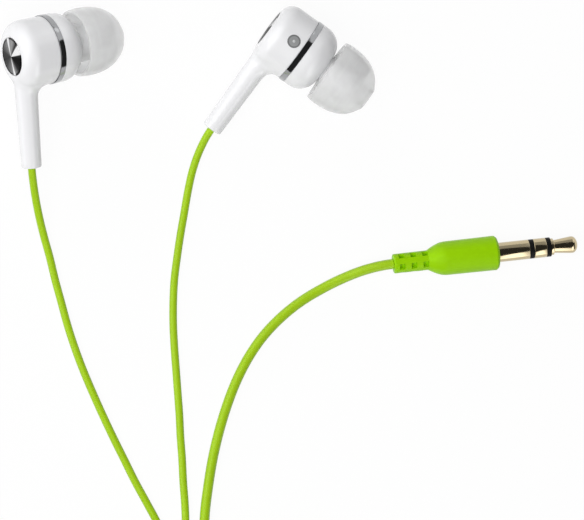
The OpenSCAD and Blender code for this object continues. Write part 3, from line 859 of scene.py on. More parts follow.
@dataclass(frozen=True)
class Felt(Finish):
    """Pressed felt: short fibres in all directions."""

    def shade(self, graph: Graph, at: Socket) -> Socket:
        """Two noises, one drawn out, stand for the fibres.

        Args:
            graph: Its graph.
            at: Own coordinates.

        Returns:
            The shader.
        """
        fibres = graph.noise(graph.stretched(at, (9.0, 24.0, 9.0)), 1.0, 4.0)
        height = fibres * 0.6 + graph.noise(at, 3.0, 4.0) * 0.4
        colour = self.tinted(graph, height, 0.5, 2.0)
        normal = graph.bump(height, 0.04)
        return graph.principled(colour, self.roughness, normal, {"Sheen Weight": 0.3})


@dataclass(frozen=True)
class Winding(Finish):
    """Fine enamelled wire wound about X.

    Attributes:
        wire: The diameter of the wire in millimetres.
    """

    wire: float = 0.05

    def shade(self, graph: Graph, at: Socket) -> Socket:
        """The turns are a sine along the axis, and each catches the light a little differently.

        Args:
            graph: Its graph.
            at: Own coordinates.

        Returns:
            The shader.
        """
        turns = (graph.split(at)[0] * (TURN / self.wire)).sine()
        tint = graph.noise(graph.stretched(at, (20.0, 0.5, 0.5)), 1.0, 2.0)
        colour = self.tinted(graph, tint, 0.7, 1.15)
        return graph.principled(colour, self.roughness, graph.bump(turns, 0.01), {"Metallic": 1.0})


@dataclass(frozen=True)
class Film(Finish):
    """Thin formed film about X with slanting ribs.

    Attributes:
        ribs: How many ribs go round.
    """

    ribs: int = 36

    def shade(self, graph: Graph, at: Socket) -> Socket:
        """A rib is a sine of the angle plus a share of the radius.

        Args:
            graph: Its graph.
            at: Own coordinates.

        Returns:
            The shader.
        """
        angle, radius = graph.polar(at)
        ribs = (angle * float(self.ribs) + radius * 3.0).sine()
        cloud = graph.noise(at, 1.2, 3.0)
        colour = self.tinted(graph, cloud, 0.85, 1.1)
        return graph.principled(colour, self.roughness + cloud * 0.1, graph.bump(ribs, 0.02))


@dataclass(frozen=True)
class Board(Finish):
    """Solder mask over glass fibre, with a bare gold pad under each wire.

    Attributes:
        pad_out: How far each pad is from the middle in millimetres.
        pad_down: How far the pads are below the axis.
        gold: The pads' colour.
    """

    pad_out: float = 0.7
    pad_down: float = 3.9
    gold: Colour = (0.8, 0.6, 0.3)

    def shade(self, graph: Graph, at: Socket) -> Socket:
        """A pad is where the distance from its middle is under 0.33 mm; the weave is two sines.

        Args:
            graph: Its graph.
            at: Own coordinates.

        Returns:
            The shader.
        """
        _, y, z = graph.split(at)
        across, down = abs(y) - self.pad_out, z + self.pad_down
        pad = 1 - graph.step((across * across + down * down) ** 0.5, 0.3, 0.36)
        weave = (y * 40.0).sine() * (z * 40.0).sine() * 0.5 + 0.5
        return graph.principled(
            graph.mix(pad, self.tinted(graph, weave, 0.8, 1.2), self.gold),
            self.roughness + weave * 0.05,
            graph.bump(pad + weave * 0.2, 0.03),
            {"Metallic": pad},
        )


WHITE_SHELL = GlossPlastic("white_shell", (0.87, 0.87, 0.885), 0.14, 0.07, 0.001, 0.15)
# painted reflections of the spun disc: share of a turn and level of the colour
PAINTED_REFLECTIONS = (
    (0.0, 0.02), (0.06, 0.02), (0.12, 0.05), (0.16, 0.2), (0.199, 0.4), (0.206, 1.0), (0.231, 1.0),
    (0.24, 0.4), (0.29, 0.25), (0.36, 0.14), (0.44, 0.08), (0.52, 0.1), (0.6, 0.24), (0.66, 0.34),
    (0.673, 0.4), (0.68, 1.0), (0.705, 1.0), (0.713, 0.5), (0.78, 0.4), (0.83, 0.12), (0.855, 0.05),
    (0.87, 1.0), (0.95, 1.0), (0.96, 0.05), (1.0, 0.02),
)
SPUN_METAL = SpunMetal("spun_metal", (0.97, 0.97, 0.98), 0.22, PAINTED_REFLECTIONS)
CHROME = TurnedMetal("chrome_ring", (0.36, 0.365, 0.375), 0.05, (0.32, 0.325, 0.335), 0.0004)
MESH_STEEL = TurnedMetal("mesh_steel", (0.55, 0.55, 0.56), 0.3, (0.42, 0.42, 0.42))
SILICONE = Silicone("clear_silicone", (0.79, 0.791, 0.794), 0.28, 0.45, 0.06)
GREY_MARK = MarkPlastic("grey_mark", (0.3, 0.305, 0.31), 0.42)
DRIVER_PLASTIC = GlossPlastic("driver_plastic", (0.03, 0.03, 0.035), 0.35, coat=0.0)
DRIVER_STEEL = TurnedMetal("driver_steel", (0.5, 0.5, 0.51), 0.3, (0.4, 0.39, 0.38))
COPPER_WIRE = Winding("copper_wire", (0.78, 0.36, 0.18), 0.3)
DRIVER_FILM = Film("driver_film", (0.62, 0.66, 0.7), 0.2)
BLACK_FELT = Felt("black_felt", (0.03, 0.03, 0.032), 0.9)
CIRCUIT_BOARD = Board("circuit_board", (0.01, 0.14, 0.05), 0.3)
RED_WIRE = GlossPlastic("red_wire", (0.5, 0.03, 0.02), 0.25, 0.1, 0.006, 0.1)
CRIMP_METAL = TurnedMetal("crimp_metal", (0.72, 0.72, 0.73), 0.28, (0.55, 0.55, 0.56))
GREEN_JACKET = SoftPlastic("green_jacket", (0.31, 0.6, 0.004), 0.36, 0.01)
GREEN_CORD = SoftPlastic("green_jacket", (0.37, 0.61, 0.006), 0.27, 0.004, Pattern.LENGTH, 0.4)
GREEN_MOULDING = SoftPlastic("green_moulding", (0.33, 0.68, 0.001), 0.3, 0.012, gloss=0.16)
PALE_GOLD = TurnedMetal("pale_gold", (0.56, 0.47, 0.3), 0.09, (0.5, 0.44, 0.31), 0.001)
BLACK_PLASTIC = SoftPlastic("black_plastic", (0.008, 0.008, 0.008), 0.3, 0.004)
IVORY_PLASTIC = GlossPlastic("ivory_plastic", (0.72, 0.68, 0.55), 0.4, coat=0.0)
TIE_PLASTIC = SoftPlastic("tie_plastic", (0.02, 0.02, 0.02), 0.4, 0.02)


# ---- the workshop


@dataclass
class Workshop:
    """Puts skins into the scene as pieces and dresses the nodes that stay.

    Attributes:
        nodes: The frame's nodes by name.
        made: The materials made so far.
    """

    nodes: Mapping[str, bpy.types.Object]
    made: dict[tuple[Finish, Placement], bpy.types.Material] = field(default_factory=dict)

    def material(self, finish: Finish, lie: Placement) -> bpy.types.Material:
        """The finish's material for one placement, made once.

        Args:
            finish: The finish.
            lie: The placement.

        Returns:
            The material.
        """
        key = (finish, lie)
        if key not in self.made:
            self.made[key] = finish.material(f"{finish.slot}_{len(self.made)}", lie)
        return self.made[key]

    def piece(
        self,
        name: str,
        skin: Skin,
        lie: Placement,
        finish: Finish,
        body: str,
        stands_for: Sequence[str] = (),
        sharp: float = SHARP,
    ) -> bpy.types.Object:
        """Makes a piece from a skin.

        Args:
            name: The piece's name.
            skin: Its surface in own millimetres.
            lie: Where its sub-assembly lies.
            finish: Its finish.
            body: The body that it moves with.
            stands_for: The nodes that it replaces.
            sharp: The angle in degrees from which an edge is drawn sharp.

        Returns:
            The piece.
        """
        mesh = bpy.data.meshes.new(name)
        faces = [*skin.quads.tolist(), *skin.triangles.tolist()]
        mesh.from_pydata(lie.points(skin.points).tolist(), [], faces)
        mesh.polygons.foreach_set("use_smooth", np.ones(len(faces), bool))
        if skin.uv is not None:
            corners = np.zeros(len(mesh.loops), np.int32)
            mesh.loops.foreach_get("vertex_index", corners)
            layer = mesh.uv_layers.new(name="way")
            layer.data.foreach_set("uv", skin.uv[corners].astype(np.float32).ravel())
        mesh.set_sharp_from_angle(angle=math.radians(sharp))
        mesh.validate()
        mesh.materials.append(self.material(finish, lie))
        made = placed(name, mesh)
        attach(made, body)
        if stands_for:
            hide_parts(*stands_for)
        LOG.info("%s: %d faces", name, len(faces))
        return made

    def dress(self, node: str, finish: Finish, lie: Placement) -> bpy.types.Object:
        """Gives a node that stays its material.

        Args:
            node: The node's name.
            finish: Its finish.
            lie: Where its sub-assembly lies.

        Returns:
            The node's object.
        """
        made = self.nodes[node]
        for slot in made.material_slots:
            slot.material = self.material(finish, lie)
        LOG.info("%s: dressed as %s", node, finish.slot)
        return made


# ---- cords


def curve_through(
    points: np.ndarray, first: np.ndarray, last: np.ndarray, steps: int = 16
) -> np.ndarray:
    """A smooth curve through points, with given directions at its ends.

    Between two points it is the cubic that has each point's direction times the chord, and an
    inner point's direction is the weighted mean of the chords beside it.

    Args:
        points: The points, one a row.
        first: The direction in which it starts.
        last: The direction in which it ends.
        steps: How many points each chord gets.

    Returns:
        The curve's points.
    """
    chord = np.diff(points, axis=0)
    long = np.linalg.norm(chord, axis=1)[:, None]
    slope = chord / long
    inner = (slope[:-1] * long[1:] + slope[1:] * long[:-1]) / (long[1:] + long[:-1])
    ways = np.concatenate([unit(first)[None], inner, unit(last)[None]])
    t = (np.arange(steps) / steps)[None, :, None]
    a, b = points[:-1, None], points[1:, None]
    u, v = (ways[:-1] * long)[:, None], (ways[1:] * long)[:, None]
    cubic = (
        (2 * t**3 - 3 * t**2 + 1) * a
        + (t**3 - 2 * t**2 + t) * u
        + (3 * t**2 - 2 * t**3) * b
        + (t**3 - t**2) * v
    )
    return np.concatenate([cubic.reshape(-1, 3), points[-1:]])


def evenly(path: np.ndarray, step: float) -> np.ndarray:
    """A path's points again at even distances of about a step along it.

    Args:
        path: The path's points.
        step: The distance.

    Returns:
        The new points.
    """
    along = distances(path)
    places = np.linspace(0, along[-1], round(along[-1] / step) + 1)
    return np.stack([np.interp(places, along, path[:, k]) for k in range(3)], -1)


@dataclass(frozen=True)
class Coil:
    """Flat-wound turns of a cord in layers, each lying on the one below.

    Attributes:
        middle: The middle in plan.
        level: The height of the cord's middle in the lowest layer.
        outer: The radius of the outermost turn.
        step: The distance between turns and between layers.
        turns: How many turns there are.
        layers: How many layers they lie in.
        start: The angle at which the cord comes in, in degrees.
        sense: 1 for anticlockwise from above, -1 for clockwise.
    """

    middle: tuple[float, float]
    level: float
    outer: float
    step: float
    turns: int
    layers: int
    start: float
    sense: int

    def path(self, steps: int = 72) -> np.ndarray:
        """The cord's middle line.

        The radius falls and rises by a step a turn, as a triangle wave over the turns of a
        layer, and the height climbs a step in the half turn about each reversal.

        Args:
            steps: How many points a turn has.

        Returns:
            The points of the line.
        """
        s = np.arange(self.turns * steps + 1) / steps
        layer = self.turns / self.layers
        phase = s / layer % 2
        radius = self.outer - self.step * layer * np.minimum(phase, 2 - phase)
        changes = np.arange(1, self.layers)[:, None] * layer
        climbs = np.clip((s - changes) * 2 + 0.5, 0, 1).sum(0)
        angle = np.radians(self.start + self.sense * 360 * s)
        x = self.middle[0] + radius * np.cos(angle)
        y = self.middle[1] + radius * np.sin(angle)
        return np.stack([x, y, self.level + self.step * climbs], -1)


@dataclass(frozen=True)
class CordRun:
    """One cord from end to end: its laid route, its coil and its tail.

    Attributes:
        name: The piece's name.
        diameter: The cord's diameter.
        route: Points from the exit to the coil, with the exit first.
        exit_way: The direction in which the cord leaves.
        coil: The coil.
        tail: Points from the coil to the splitter.
        tail_way: The direction in which it goes into the splitter.
        sides: How many sides the tube has.
    """

    name: str
    diameter: float
    route: np.ndarray
    exit_way: np.ndarray
    coil: Coil
    tail: np.ndarray
    tail_way: tuple[float, float, float]
    sides: int = 14

    def path(self) -> np.ndarray:
        """The whole middle line: route, coil and tail, at even distances of half a diameter.

        Returns:
            The points of the line.
        """
        south = np.array(SOUTH)
        turns = self.coil.path()
        lead = self.diameter * -south
        route = curve_through(np.concatenate([self.route, [turns[0] + lead]]), self.exit_way, south)
        away = np.concatenate([[turns[-1] - lead], self.tail])
        tail = curve_through(away, south, np.array(self.tail_way))
        return evenly(np.concatenate([route, turns, tail]), self.diameter / 2)

    def lay(self, shop: Workshop, node: str) -> bpy.types.Object:
        """Makes the cord's piece, which replaces the node, its coil and its end.

        Args:
            shop: The workshop.
            node: The name of the cord's first node.

        Returns:
            The piece.
        """
        nodes = [node, f"{node}_coil", f"{node}_end"]
        skin = tube(self.path(), self.diameter / 2, self.sides)
        return shop.piece(self.name, skin, LEVEL, GREEN_CORD, "headset", nodes, 60)

    def declare(
        self,
        piece: bpy.types.Object,
        start: np.ndarray,
        far_end: str,
        pieces: Sequence[bpy.types.Object],
    ) -> None:
        """Works out the cord's middle line, and its start and diameter in metres, but keeps none of
        them.

        Args:
            piece: The cord's piece; not used.
            start: The point where it leaves the object, in millimetres.
            far_end: What its far end is; not used.
            pieces: The pieces on it; not used.
        """
        path = self.path()
        tuple(start * MM)
        self.diameter * MM


@dataclass
class Cords:
    """The three cords and their coils' ties.

    Attributes:
        branch_d: Diameter of the two branch cords.
        main_d: Diameter of the main cord.
        gap: Gap between neighbouring turns.
        tie_w: Width of a tie.
        tie_t: Thickness of a tie.
        slack: Room between a tie and the cord.
        branch_in: Where the branch cords meet their coils, in plan.
        branch_coil_r: Radius of those coils' outermost turn.
        main_in: Where the main cord meets its coil.
        main_coil_r: Radius of its outermost turn.
        splitter_port: The middle between the branch cords where they go into the splitter.
        splitter_tail: Where the main cord goes into it.
        splitter_pitch: Distance between the branch cords there.
    """

    branch_d: float = 1.4
    main_d: float = 1.8
    gap: float = 0.5
    tie_w: float = 3.0
    tie_t: float = 0.3
    tie_bend: float = 0.8
    tie_ease: float = 0.12
    slack: float = 0.1
    branch_in: tuple[float, float] = (-2.8, -92.9)
    branch_coil_r: float = 10.6
    main_in: tuple[float, float] = (3.6, -95.9)
    main_coil_r: float = 13.6
    splitter_port: tuple[float, float, float] = (-2.1, -112.4, 1.7)
    splitter_tail: tuple[float, float, float] = (-2.1, -126.4, 1.7)
    splitter_pitch: float = 2.8

    def branch_coil(self, layer: int) -> Coil:
        """The coil of a branch cord, of five turns in two layers.

        Args:
            layer: Its lowest layer, counted from the surface.

        Returns:
            The coil.
        """
        step, outer = self.branch_d + self.gap, self.branch_coil_r
        middle = (self.branch_in[0] - outer, self.branch_in[1])
        level = self.tie_t + self.slack + self.branch_d / 2 + layer * step
        return Coil(middle, level, outer, step, turns=5, layers=2, start=0.0, sense=-1)

    def main_coil(self) -> Coil:
        """The main cord's coil, of ten turns in four layers.

        Returns:
            The coil.
        """
        step, outer = self.main_d + self.gap, self.main_coil_r
        middle = (self.main_in[0] + outer, self.main_in[1])
        level = self.tie_t + self.slack + self.main_d / 2
        return Coil(middle, level, outer, step, turns=10, layers=4, start=180.0, sense=1)

    def branch(self, side: Side, route: Points, way: np.ndarray, tail: Points) -> CordRun:
        """A branch cord: the left one's coil lies below the right one's.

        Args:
            side: Which ear it is for.
            route: Points from its exit to its coil.
            way: The direction in which it leaves.
            tail: Points from the coil to the splitter, without the splitter's own.

        Returns:
            The cord.
        """
        layer, offset = (0, -0.5) if side is Side.LEFT else (2, 0.5)
        x, y, z = self.splitter_port
        ends = np.array([*tail, (x + offset * self.splitter_pitch, y, z)])
        coil, name = self.branch_coil(layer), f"{side.value}_branch_cord"
        return CordRun(name, self.branch_d, np.array(route), way, coil, ends, SOUTH)

    def left(self, out: Exit) -> CordRun:
        """The left branch cord from its earpiece to the splitter.

        Args:
            out: Where and which way it leaves the earpiece.

        Returns:
            The cord.
        """
        high = [(-27.4, -18.4, 3.8), (-26.5, -22.4, 2.5), (-25.4, -26.4, 1.5), (-24.2, -30.4, 0.9)]
        laid = [(-23.2, -34.4), (-22.1, -38.4), (-21, -42.4), (-19.7, -46.4), (-18.2, -50.4)]
        laid += [(-16.5, -54.4), (-14.7, -58.4), (-12.8, -62.4), (-10.8, -66.4), (-8.8, -70.4)]
        laid += [(-6.6, -74.4), (-4.5, -78.4)]
        route = [out[0], *high, *((*p, self.branch_d / 2) for p in laid)]
        route += [(-3.2, -82.4, 0.8), (-2.8, -86.9, 0.9)]
        tail = [(-3, -97.4, 2.6), (-3.4, -101.4, 2), (-3.5, -105.4, 1.7)]
        return self.branch(Side.LEFT, route, out[1], tail)

    def right(self, out: Exit) -> CordRun:
        """The right branch cord from its earpiece to the splitter.

        Args:
            out: Where and which way it leaves the earpiece.

        Returns:
            The cord.
        """
        laid = [(1.6, -14.9), (0.8, -18.4), (0.1, -22.4), (-0.6, -26.4), (-1.2, -30.4)]
        laid += [(-1.7, -34.4), (-1.9, -38.4), (-1.9, -42.4), (-1.7, -46.4), (-1.4, -50.4)]
        laid += [(-1.1, -54.4), (-0.8, -58.4), (-0.6, -62.4), (-0.3, -66.4), (-0.1, -70.4)]
        laid += [(0.2, -74.4)]
        route = [out[0], (2.9, -11.2, 0.9), *((*p, self.branch_d / 2) for p in laid)]
        route += [(0.3, -78.4, 0.8), (-0.2, -82.4, 1.9), (-1.5, -86.4, 3.8)]
        tail = [(-2.4, -97.4, 6.2), (-1.4, -100.9, 4.6), (-0.8, -104.4, 3), (-0.7, -108.4, 2)]
        return self.branch(Side.RIGHT, route, out[1], tail)

    def main(self, out: Exit) -> CordRun:
        """The main cord from the plug to the splitter.

        Args:
            out: Where and which way it leaves the plug.

        Returns:
            The cord.
        """
        laid = [(24.7, -36.2), (20.9, -38.5), (17.3, -41.4), (14.1, -44.8), (11.5, -48.6)]
        laid += [(9.4, -52.7), (7.7, -57.1), (6.3, -61.7), (5.2, -66.4), (4.4, -71.2), (3.8, -76)]
        route = [out[0], (33.1, -32.5, 2.4), (28.9, -34.1, 1.4)]
        route += [*((*p, self.main_d / 2) for p in laid), (3.6, -80.8, 1), (3.6, -86.4, 1.1)]
        tail = [(3.8, -101.9, 7), (4.5, -106.4, 4.8), (6.1, -111.4, 2.6), (7.9, -116.9, 1.3)]
        tail += [(8.9, -122.4, 0.9), (8.4, -127.9, 0.9), (5.7, -132.3, 0.9), (1.6, -133.6, 1)]
        tail += [(-1.5, -130.8, 1.4), self.splitter_tail]
        points, ends = np.array(route), np.array(tail)
        return CordRun("main_cord_run", self.main_d, points, out[1], self.main_coil(), ends, NORTH)

    def tie(self, coil: Coil, diameter: float, layers: int, angle: float) -> Skin:
        """A flat band round one side of a coil.

        Its path is an upright oblong with rounded corners round the turns, and its profile is
        an oblong as wide as the tie with eased edges.

        Args:
            coil: The coil, or the lower of two that lie on each other.
            diameter: The cord's diameter.
            layers: How many layers the band goes round.
            angle: The side of the coil, in degrees.

        Returns:
            The band's skin in the frame's millimetres.
        """
        nearest = coil.outer - coil.step * coil.turns / coil.layers - diameter / 2
        inner = math.sqrt(nearest**2 - self.tie_w**2 / 4) - self.slack - self.tie_t / 2
        outer = coil.outer + diameter / 2 + self.slack + self.tie_t / 2
        low = self.tie_t / 2
        high = self.tie_t * 1.5 + self.slack * 2 + diameter + coil.step * (layers - 1)
        corners = np.array([(inner, low), (outer, low), (outer, high), (inner, high)])
        loop = eased(corners, self.tie_bend, 6)
        a = math.radians(angle)
        out, across = (math.cos(a), math.sin(a), 0), (-math.sin(a), math.cos(a), 0)
        path = np.array([*coil.middle, 0.0]) + loop[:, :1] * np.array(out)
        path[:, 2] += loop[:, 1]
        ahead = unit(np.roll(path, -1, 0) - np.roll(path, 1, 0))
        side = np.broadcast_to(across, path.shape)
        half = np.array([self.tie_w / 2, self.tie_t / 2])
        section = np.array([(-1, -1), (1, -1), (1, 1), (-1, 1)]) * half
        profile = eased(section, self.tie_ease, 3)
        return swept(path, side, np.cross(ahead, side), profile, True)


# ---- an earpiece


class Side(Enum):
    """Which ear an earpiece is for."""

    LEFT = "left"
    RIGHT = "right"

    def dots(self) -> int:
        """How many raised dots its side mark has."""
        return 2 if self is Side.LEFT else 1

    def out(self) -> int:
        """The side of the barrel that the mark is on: 1 for +Y and -1 for -Y."""
        return 1 if self is Side.LEFT else -1


@dataclass
class Earpiece:
    """One earpiece: housings, ring, disc, mark, mesh, tip and the driver inside.

    A name that ends in _r or _round is a radius, _x a place along the barrel and _len a length.
    A place along the stem is how far it lies below the barrel's axis.

    Attributes:
        side: Which ear it is for.
        lie: Where it lies.
        fit: Room between a part and its seat.
        barb_band: Length of the barb at its full radius.
        tip_fork: Where skirt and sleeve part, as a share of the dome.
        stem_join: Where the stem's run into the barrel ends.
        blend: How wide stem and barrel run into each other behind.
        blend_front: How much wider they do in front.
        mark_lift: The side mark's angle above the middle of the side, in degrees.
    """

    side: Side
    lie: Placement
    barrel_r: float = 6.1
    back_x: float = -7.1
    back_round: float = 2.6
    wall: float = 1.0
    fit: float = 0.05
    rim_round: float = 0.12
    ring_half: float = 0.5
    ring_r: float = 6.25
    crown_r: float = 5.0
    front_r: float = 6.2
    front_mid_x: float = 1.6
    front_round: float = 3.6
    spigot_r: float = 5.55
    spigot_in: float = 5.05
    spigot_x: float = -1.6
    nozzle_x: float = 10.5
    nozzle_r: float = 2.3
    barb_r: float = 2.6
    barb_len: float = 2.4
    barb_band: float = 0.7
    sound_r: float = 1.7
    mesh_r: float = 1.9
    mesh_x: float = 10.0
    tip_r: float = 6.1
    tip_back_x: float = 5.65
    tip_wide_x: float = 7.2
    tip_dome: float = 7.5
    tip_skin: float = 0.55
    tip_curl: float = 0.18
    tip_bore_r: float = 2.65
    tip_sleeve_r: float = 3.45
    tip_sleeve_x: float = 5.4
    tip_fork: float = 0.54
    tip_mouth_r: float = 1.8
    stem_x: float = -4.75
    stem_r: float = 2.05
    stem_end_r: float = 1.8
    stem_len: float = 20.7
    stem_top: float = 3.4
    stem_join: float = 8.6
    stem_toe: float = 0.25
    stem_bore_r: float = 0.75
    blend: float = 0.7
    blend_front: float = 1.5
    badge_r: float = 3.4
    badge_seat_x: float = -6.6
    badge_dome: float = 0.2
    mark_x: float = -2.45
    mark_r: float = 1.2
    mark_lift: float = 12.0
    mark_height: float = 0.06
    mark_sunk: float = 0.15
    dot_r: float = 0.26
    dot_height: float = 0.1
    dot_pitch: float = 0.8

    def exit(self) -> Exit:
        """The middle of the stem's end, and the way out of it."""
        return self.lie.point(self.stem_x, 0, -self.stem_len), self.lie.way(0, 0, -1)

    def shell_field(self, p: np.ndarray) -> np.ndarray:
        """How far points lie outside the rear housing's outer surface.

        The barrel is the distance to a round bar with a rounded back edge. The stem is the
        distance from its axis less a radius that falls evenly down it, cut off inside the
        barrel. The two run into each other by a smooth least value, widest in front.

        Args:
            p: Points in own millimetres, one a row.

        Returns:
            One number a point, negative inside.
        """
        behind = -p[:, 0] + self.back_x + self.back_round
        beyond = np.hypot(p[:, 1], p[:, 2]) - self.barrel_r + self.back_round
        q = np.stack([behind, beyond], -1)
        barrel = np.hypot(*np.maximum(q, 0).T) + np.minimum(q.max(1), 0) - self.back_round
        drop = np.clip((-p[:, 2] - self.barrel_r) / (self.stem_len - self.barrel_r), -0.3, 1)
        radius = self.stem_r + (self.stem_end_r - self.stem_r) * drop
        ahead = p[:, 0] - self.stem_x
        stem = np.maximum(np.hypot(ahead, p[:, 1]) - radius, p[:, 2] + self.stem_top)
        width = self.blend + self.blend_front * np.clip((ahead + 1.5) / 3, 0, 1)
        mix = np.maximum(width - np.abs(barrel - stem), 0) / width
        return np.minimum(barrel, stem) - mix**2 * width / 4

    def onto_shell(self, points: np.ndarray, step: float = 1e-3) -> np.ndarray:
        """Points moved onto the outer surface, by six steps along the field's slope.

        Args:
            points: Points in own millimetres, in rows of any depth.
            step: How far apart the field is read for its slope, each way.

        Returns:
            The moved points in the same rows.
        """
        p = points.reshape(-1, 3)
        for _ in range(6):
            moves = step * np.eye(3)
            rise = [self.shell_field(p + move) - self.shell_field(p - move) for move in moves]
            slope = np.stack(rise, -1) / (2 * step)
            size = np.maximum((slope**2).sum(1), 1e-6)
            p = p - slope * (self.shell_field(p) / size)[:, None]
        return p.reshape(points.shape)

    def barrel_outline(self) -> tuple[np.ndarray, slice]:
        """The rear barrel's outline: the disc's seat, the outside, the spigot's seat, the hollow.

        Returns:
            Distance along the axis and radius, one point a row, and the rows on the outside.
        """
        mid = (self.back_x + self.back_round, self.barrel_r - self.back_round)
        seat_r, spigot_seat_r = self.badge_r + self.fit, self.spigot_r + self.fit
        seat = [(self.badge_seat_x, seat_r)]
        seat += [(self.back_x + 0.08, seat_r), (self.back_x, self.badge_r + 0.1)]
        corner = arc(mid, self.back_round, 180, 90, 16)[1:]
        flat = np.linspace(mid[0], -self.ring_half - 0.4, 11)[1:]
        straight = np.stack([flat, np.full(len(flat), self.barrel_r)], -1)
        edge = (-self.ring_half - self.rim_round, self.barrel_r - self.rim_round)
        rim = arc(edge, self.rim_round, 90, 0, 3)
        groove = self.spigot_x - self.fit
        inner = [(-self.ring_half, spigot_seat_r), (groove, spigot_seat_r)]
        inner += [(groove, self.barrel_r - self.wall)]
        cavity = arc(mid, self.back_round - self.wall, 90, 180, 8)
        outline = np.concatenate([seat, corner, straight, rim, inner, cavity])
        return outline, slice(len(seat), len(seat) + len(corner) + len(straight))

    def stem_lines(self, start: np.ndarray) -> np.ndarray:
        """Lines from an edge on the barrel down the stem, round its end and up its bore.

        A line first follows the curve (1-t)^2 start + 2t(1-t) bend + t^2 ring, moved onto the
        shell: its bend is past the corner between barrel and stem, and its ring on the stem.
        From there it keeps its angle about the stem's axis and follows the stem's outline.

        Args:
            start: The edge's points, once round.

        Returns:
            Rows of points, each once round, with the edge first.
        """
        turn = np.arctan2(start[:, 1], start[:, 0] - self.stem_x)
        ray = np.stack([np.cos(turn), np.sin(turn)], -1)
        slim = (self.stem_end_r - self.stem_r) / (self.stem_len - self.barrel_r)
        join_r = self.stem_r + slim * (self.stem_join - self.barrel_r)
        ring = ray * join_r + [self.stem_x, 0]
        ring = np.column_stack([ring, np.full(len(turn), -self.stem_join)])
        bend = ray * (self.stem_r + 0.2) + [self.stem_x, 0]
        behind = np.minimum(bend[:, 0] - (self.back_x + self.back_round), 0)
        rounded = np.sqrt(np.maximum(self.back_round**2 - behind**2, 0))
        barrel_r = self.barrel_r - self.back_round + rounded
        level = -np.sqrt(np.maximum(barrel_r**2 - bend[:, 1] ** 2, 1))
        bend = np.column_stack([bend, np.minimum(level, start[:, 2] - 0.6)])
        t = (np.arange(1, 19) / 18)[:, None, None]
        skirt = (1 - t) ** 2 * start + 2 * t * (1 - t) * bend + t**2 * ring
        skirt[:-1] = self.onto_shell(skirt[:-1])
        foot = self.stem_toe - self.stem_len
        z = np.linspace(-self.stem_join, foot, 15)[1:]
        side = np.stack([self.stem_r + slim * (-z - self.barrel_r), z], -1)
        toe = arc((self.stem_end_r - self.stem_toe, foot), self.stem_toe, 0, -90, 4)[1:]
        top, wide = -self.barrel_r - 0.1, self.stem_bore_r + 0.3
        bore = [(self.stem_bore_r + 0.05, -self.stem_len), (self.stem_bore_r, 0.05 - self.stem_len)]
        bore += [(self.stem_bore_r, top), (wide, top), (wide, self.wall - self.barrel_r - 0.2)]
        outline = np.concatenate([side, toe, bore])
        radius, z = outline[:, :1], outline[:, 1:]
        leg = np.broadcast_arrays(self.stem_x + radius * ray[:, 0], radius * ray[:, 1], z)
        return np.concatenate([start[None], skirt, np.stack(leg, -1)])

    def rear_shell(self, columns: int = 144, hole: int = 17) -> Skin:
        """The rear housing: barrel and stem in one skin, hollow, with the disc's seat.

        The barrel is a grid of its outline and the angle round X. Where the stem leaves it an
        oblong of the grid is open, and each point of the oblong's edge starts one of the lines
        that run down the stem.

        Args:
            columns: How many points go round the barrel.
            hole: How many columns each side of straight down are open.

        Returns:
            The closed skin.
        """
        rows, outside = self.barrel_outline()
        angle = (np.arange(columns) - columns // 2) * TURN / columns
        y, z = rows[:, 1:] * np.sin(angle), -rows[:, 1:] * np.cos(angle)
        grid = np.stack(np.broadcast_arrays(rows[:, :1], y, z), -1)
        grid[outside] = self.onto_shell(grid[outside])
        barrel = grid.reshape(-1, 3)
        quads = lattice(len(rows), columns, False, True)
        row, column = quads[:, 0] // columns, quads[:, 0] % columns
        first, last = outside.start + 2, outside.stop - 2
        left, right = columns // 2 - hole, columns // 2 + hole
        open_part = (row >= first) & (row < last) & (column >= left) & (column < right)
        # the oblong's edge, once round
        down, across = np.arange(first, last), np.arange(left, right)
        edge = np.concatenate(
            [
                first * columns + across,
                down * columns + right,
                last * columns + across[::-1] + 1,
                (down[::-1] + 1) * columns + left,
            ]
        )
        lines = self.stem_lines(barrel[edge])
        # a line starts on a point of the barrel, and the barrel's end points precede the new ones
        new = lines[1:].reshape(-1, 3)
        number = np.concatenate([edge, np.arange(len(new)) + len(barrel) + 2])
        legs = number[lattice(*lines.shape[:2], False, True)][:, ::-1]
        plug = fan(number[-len(edge) :][::-1], len(barrel) + 2 + len(new))
        ends = [(self.badge_seat_x, 0, 0), (self.back_x + self.wall, 0, 0)]
        top = [(self.stem_x, 0, lines[-1, 0, 2])]
        return Skin(
            np.concatenate([barrel, ends, new, top]),
            np.concatenate([quads[~open_part], legs]),
            np.concatenate([end_fans(len(rows), columns), plug]),
        ).outward()

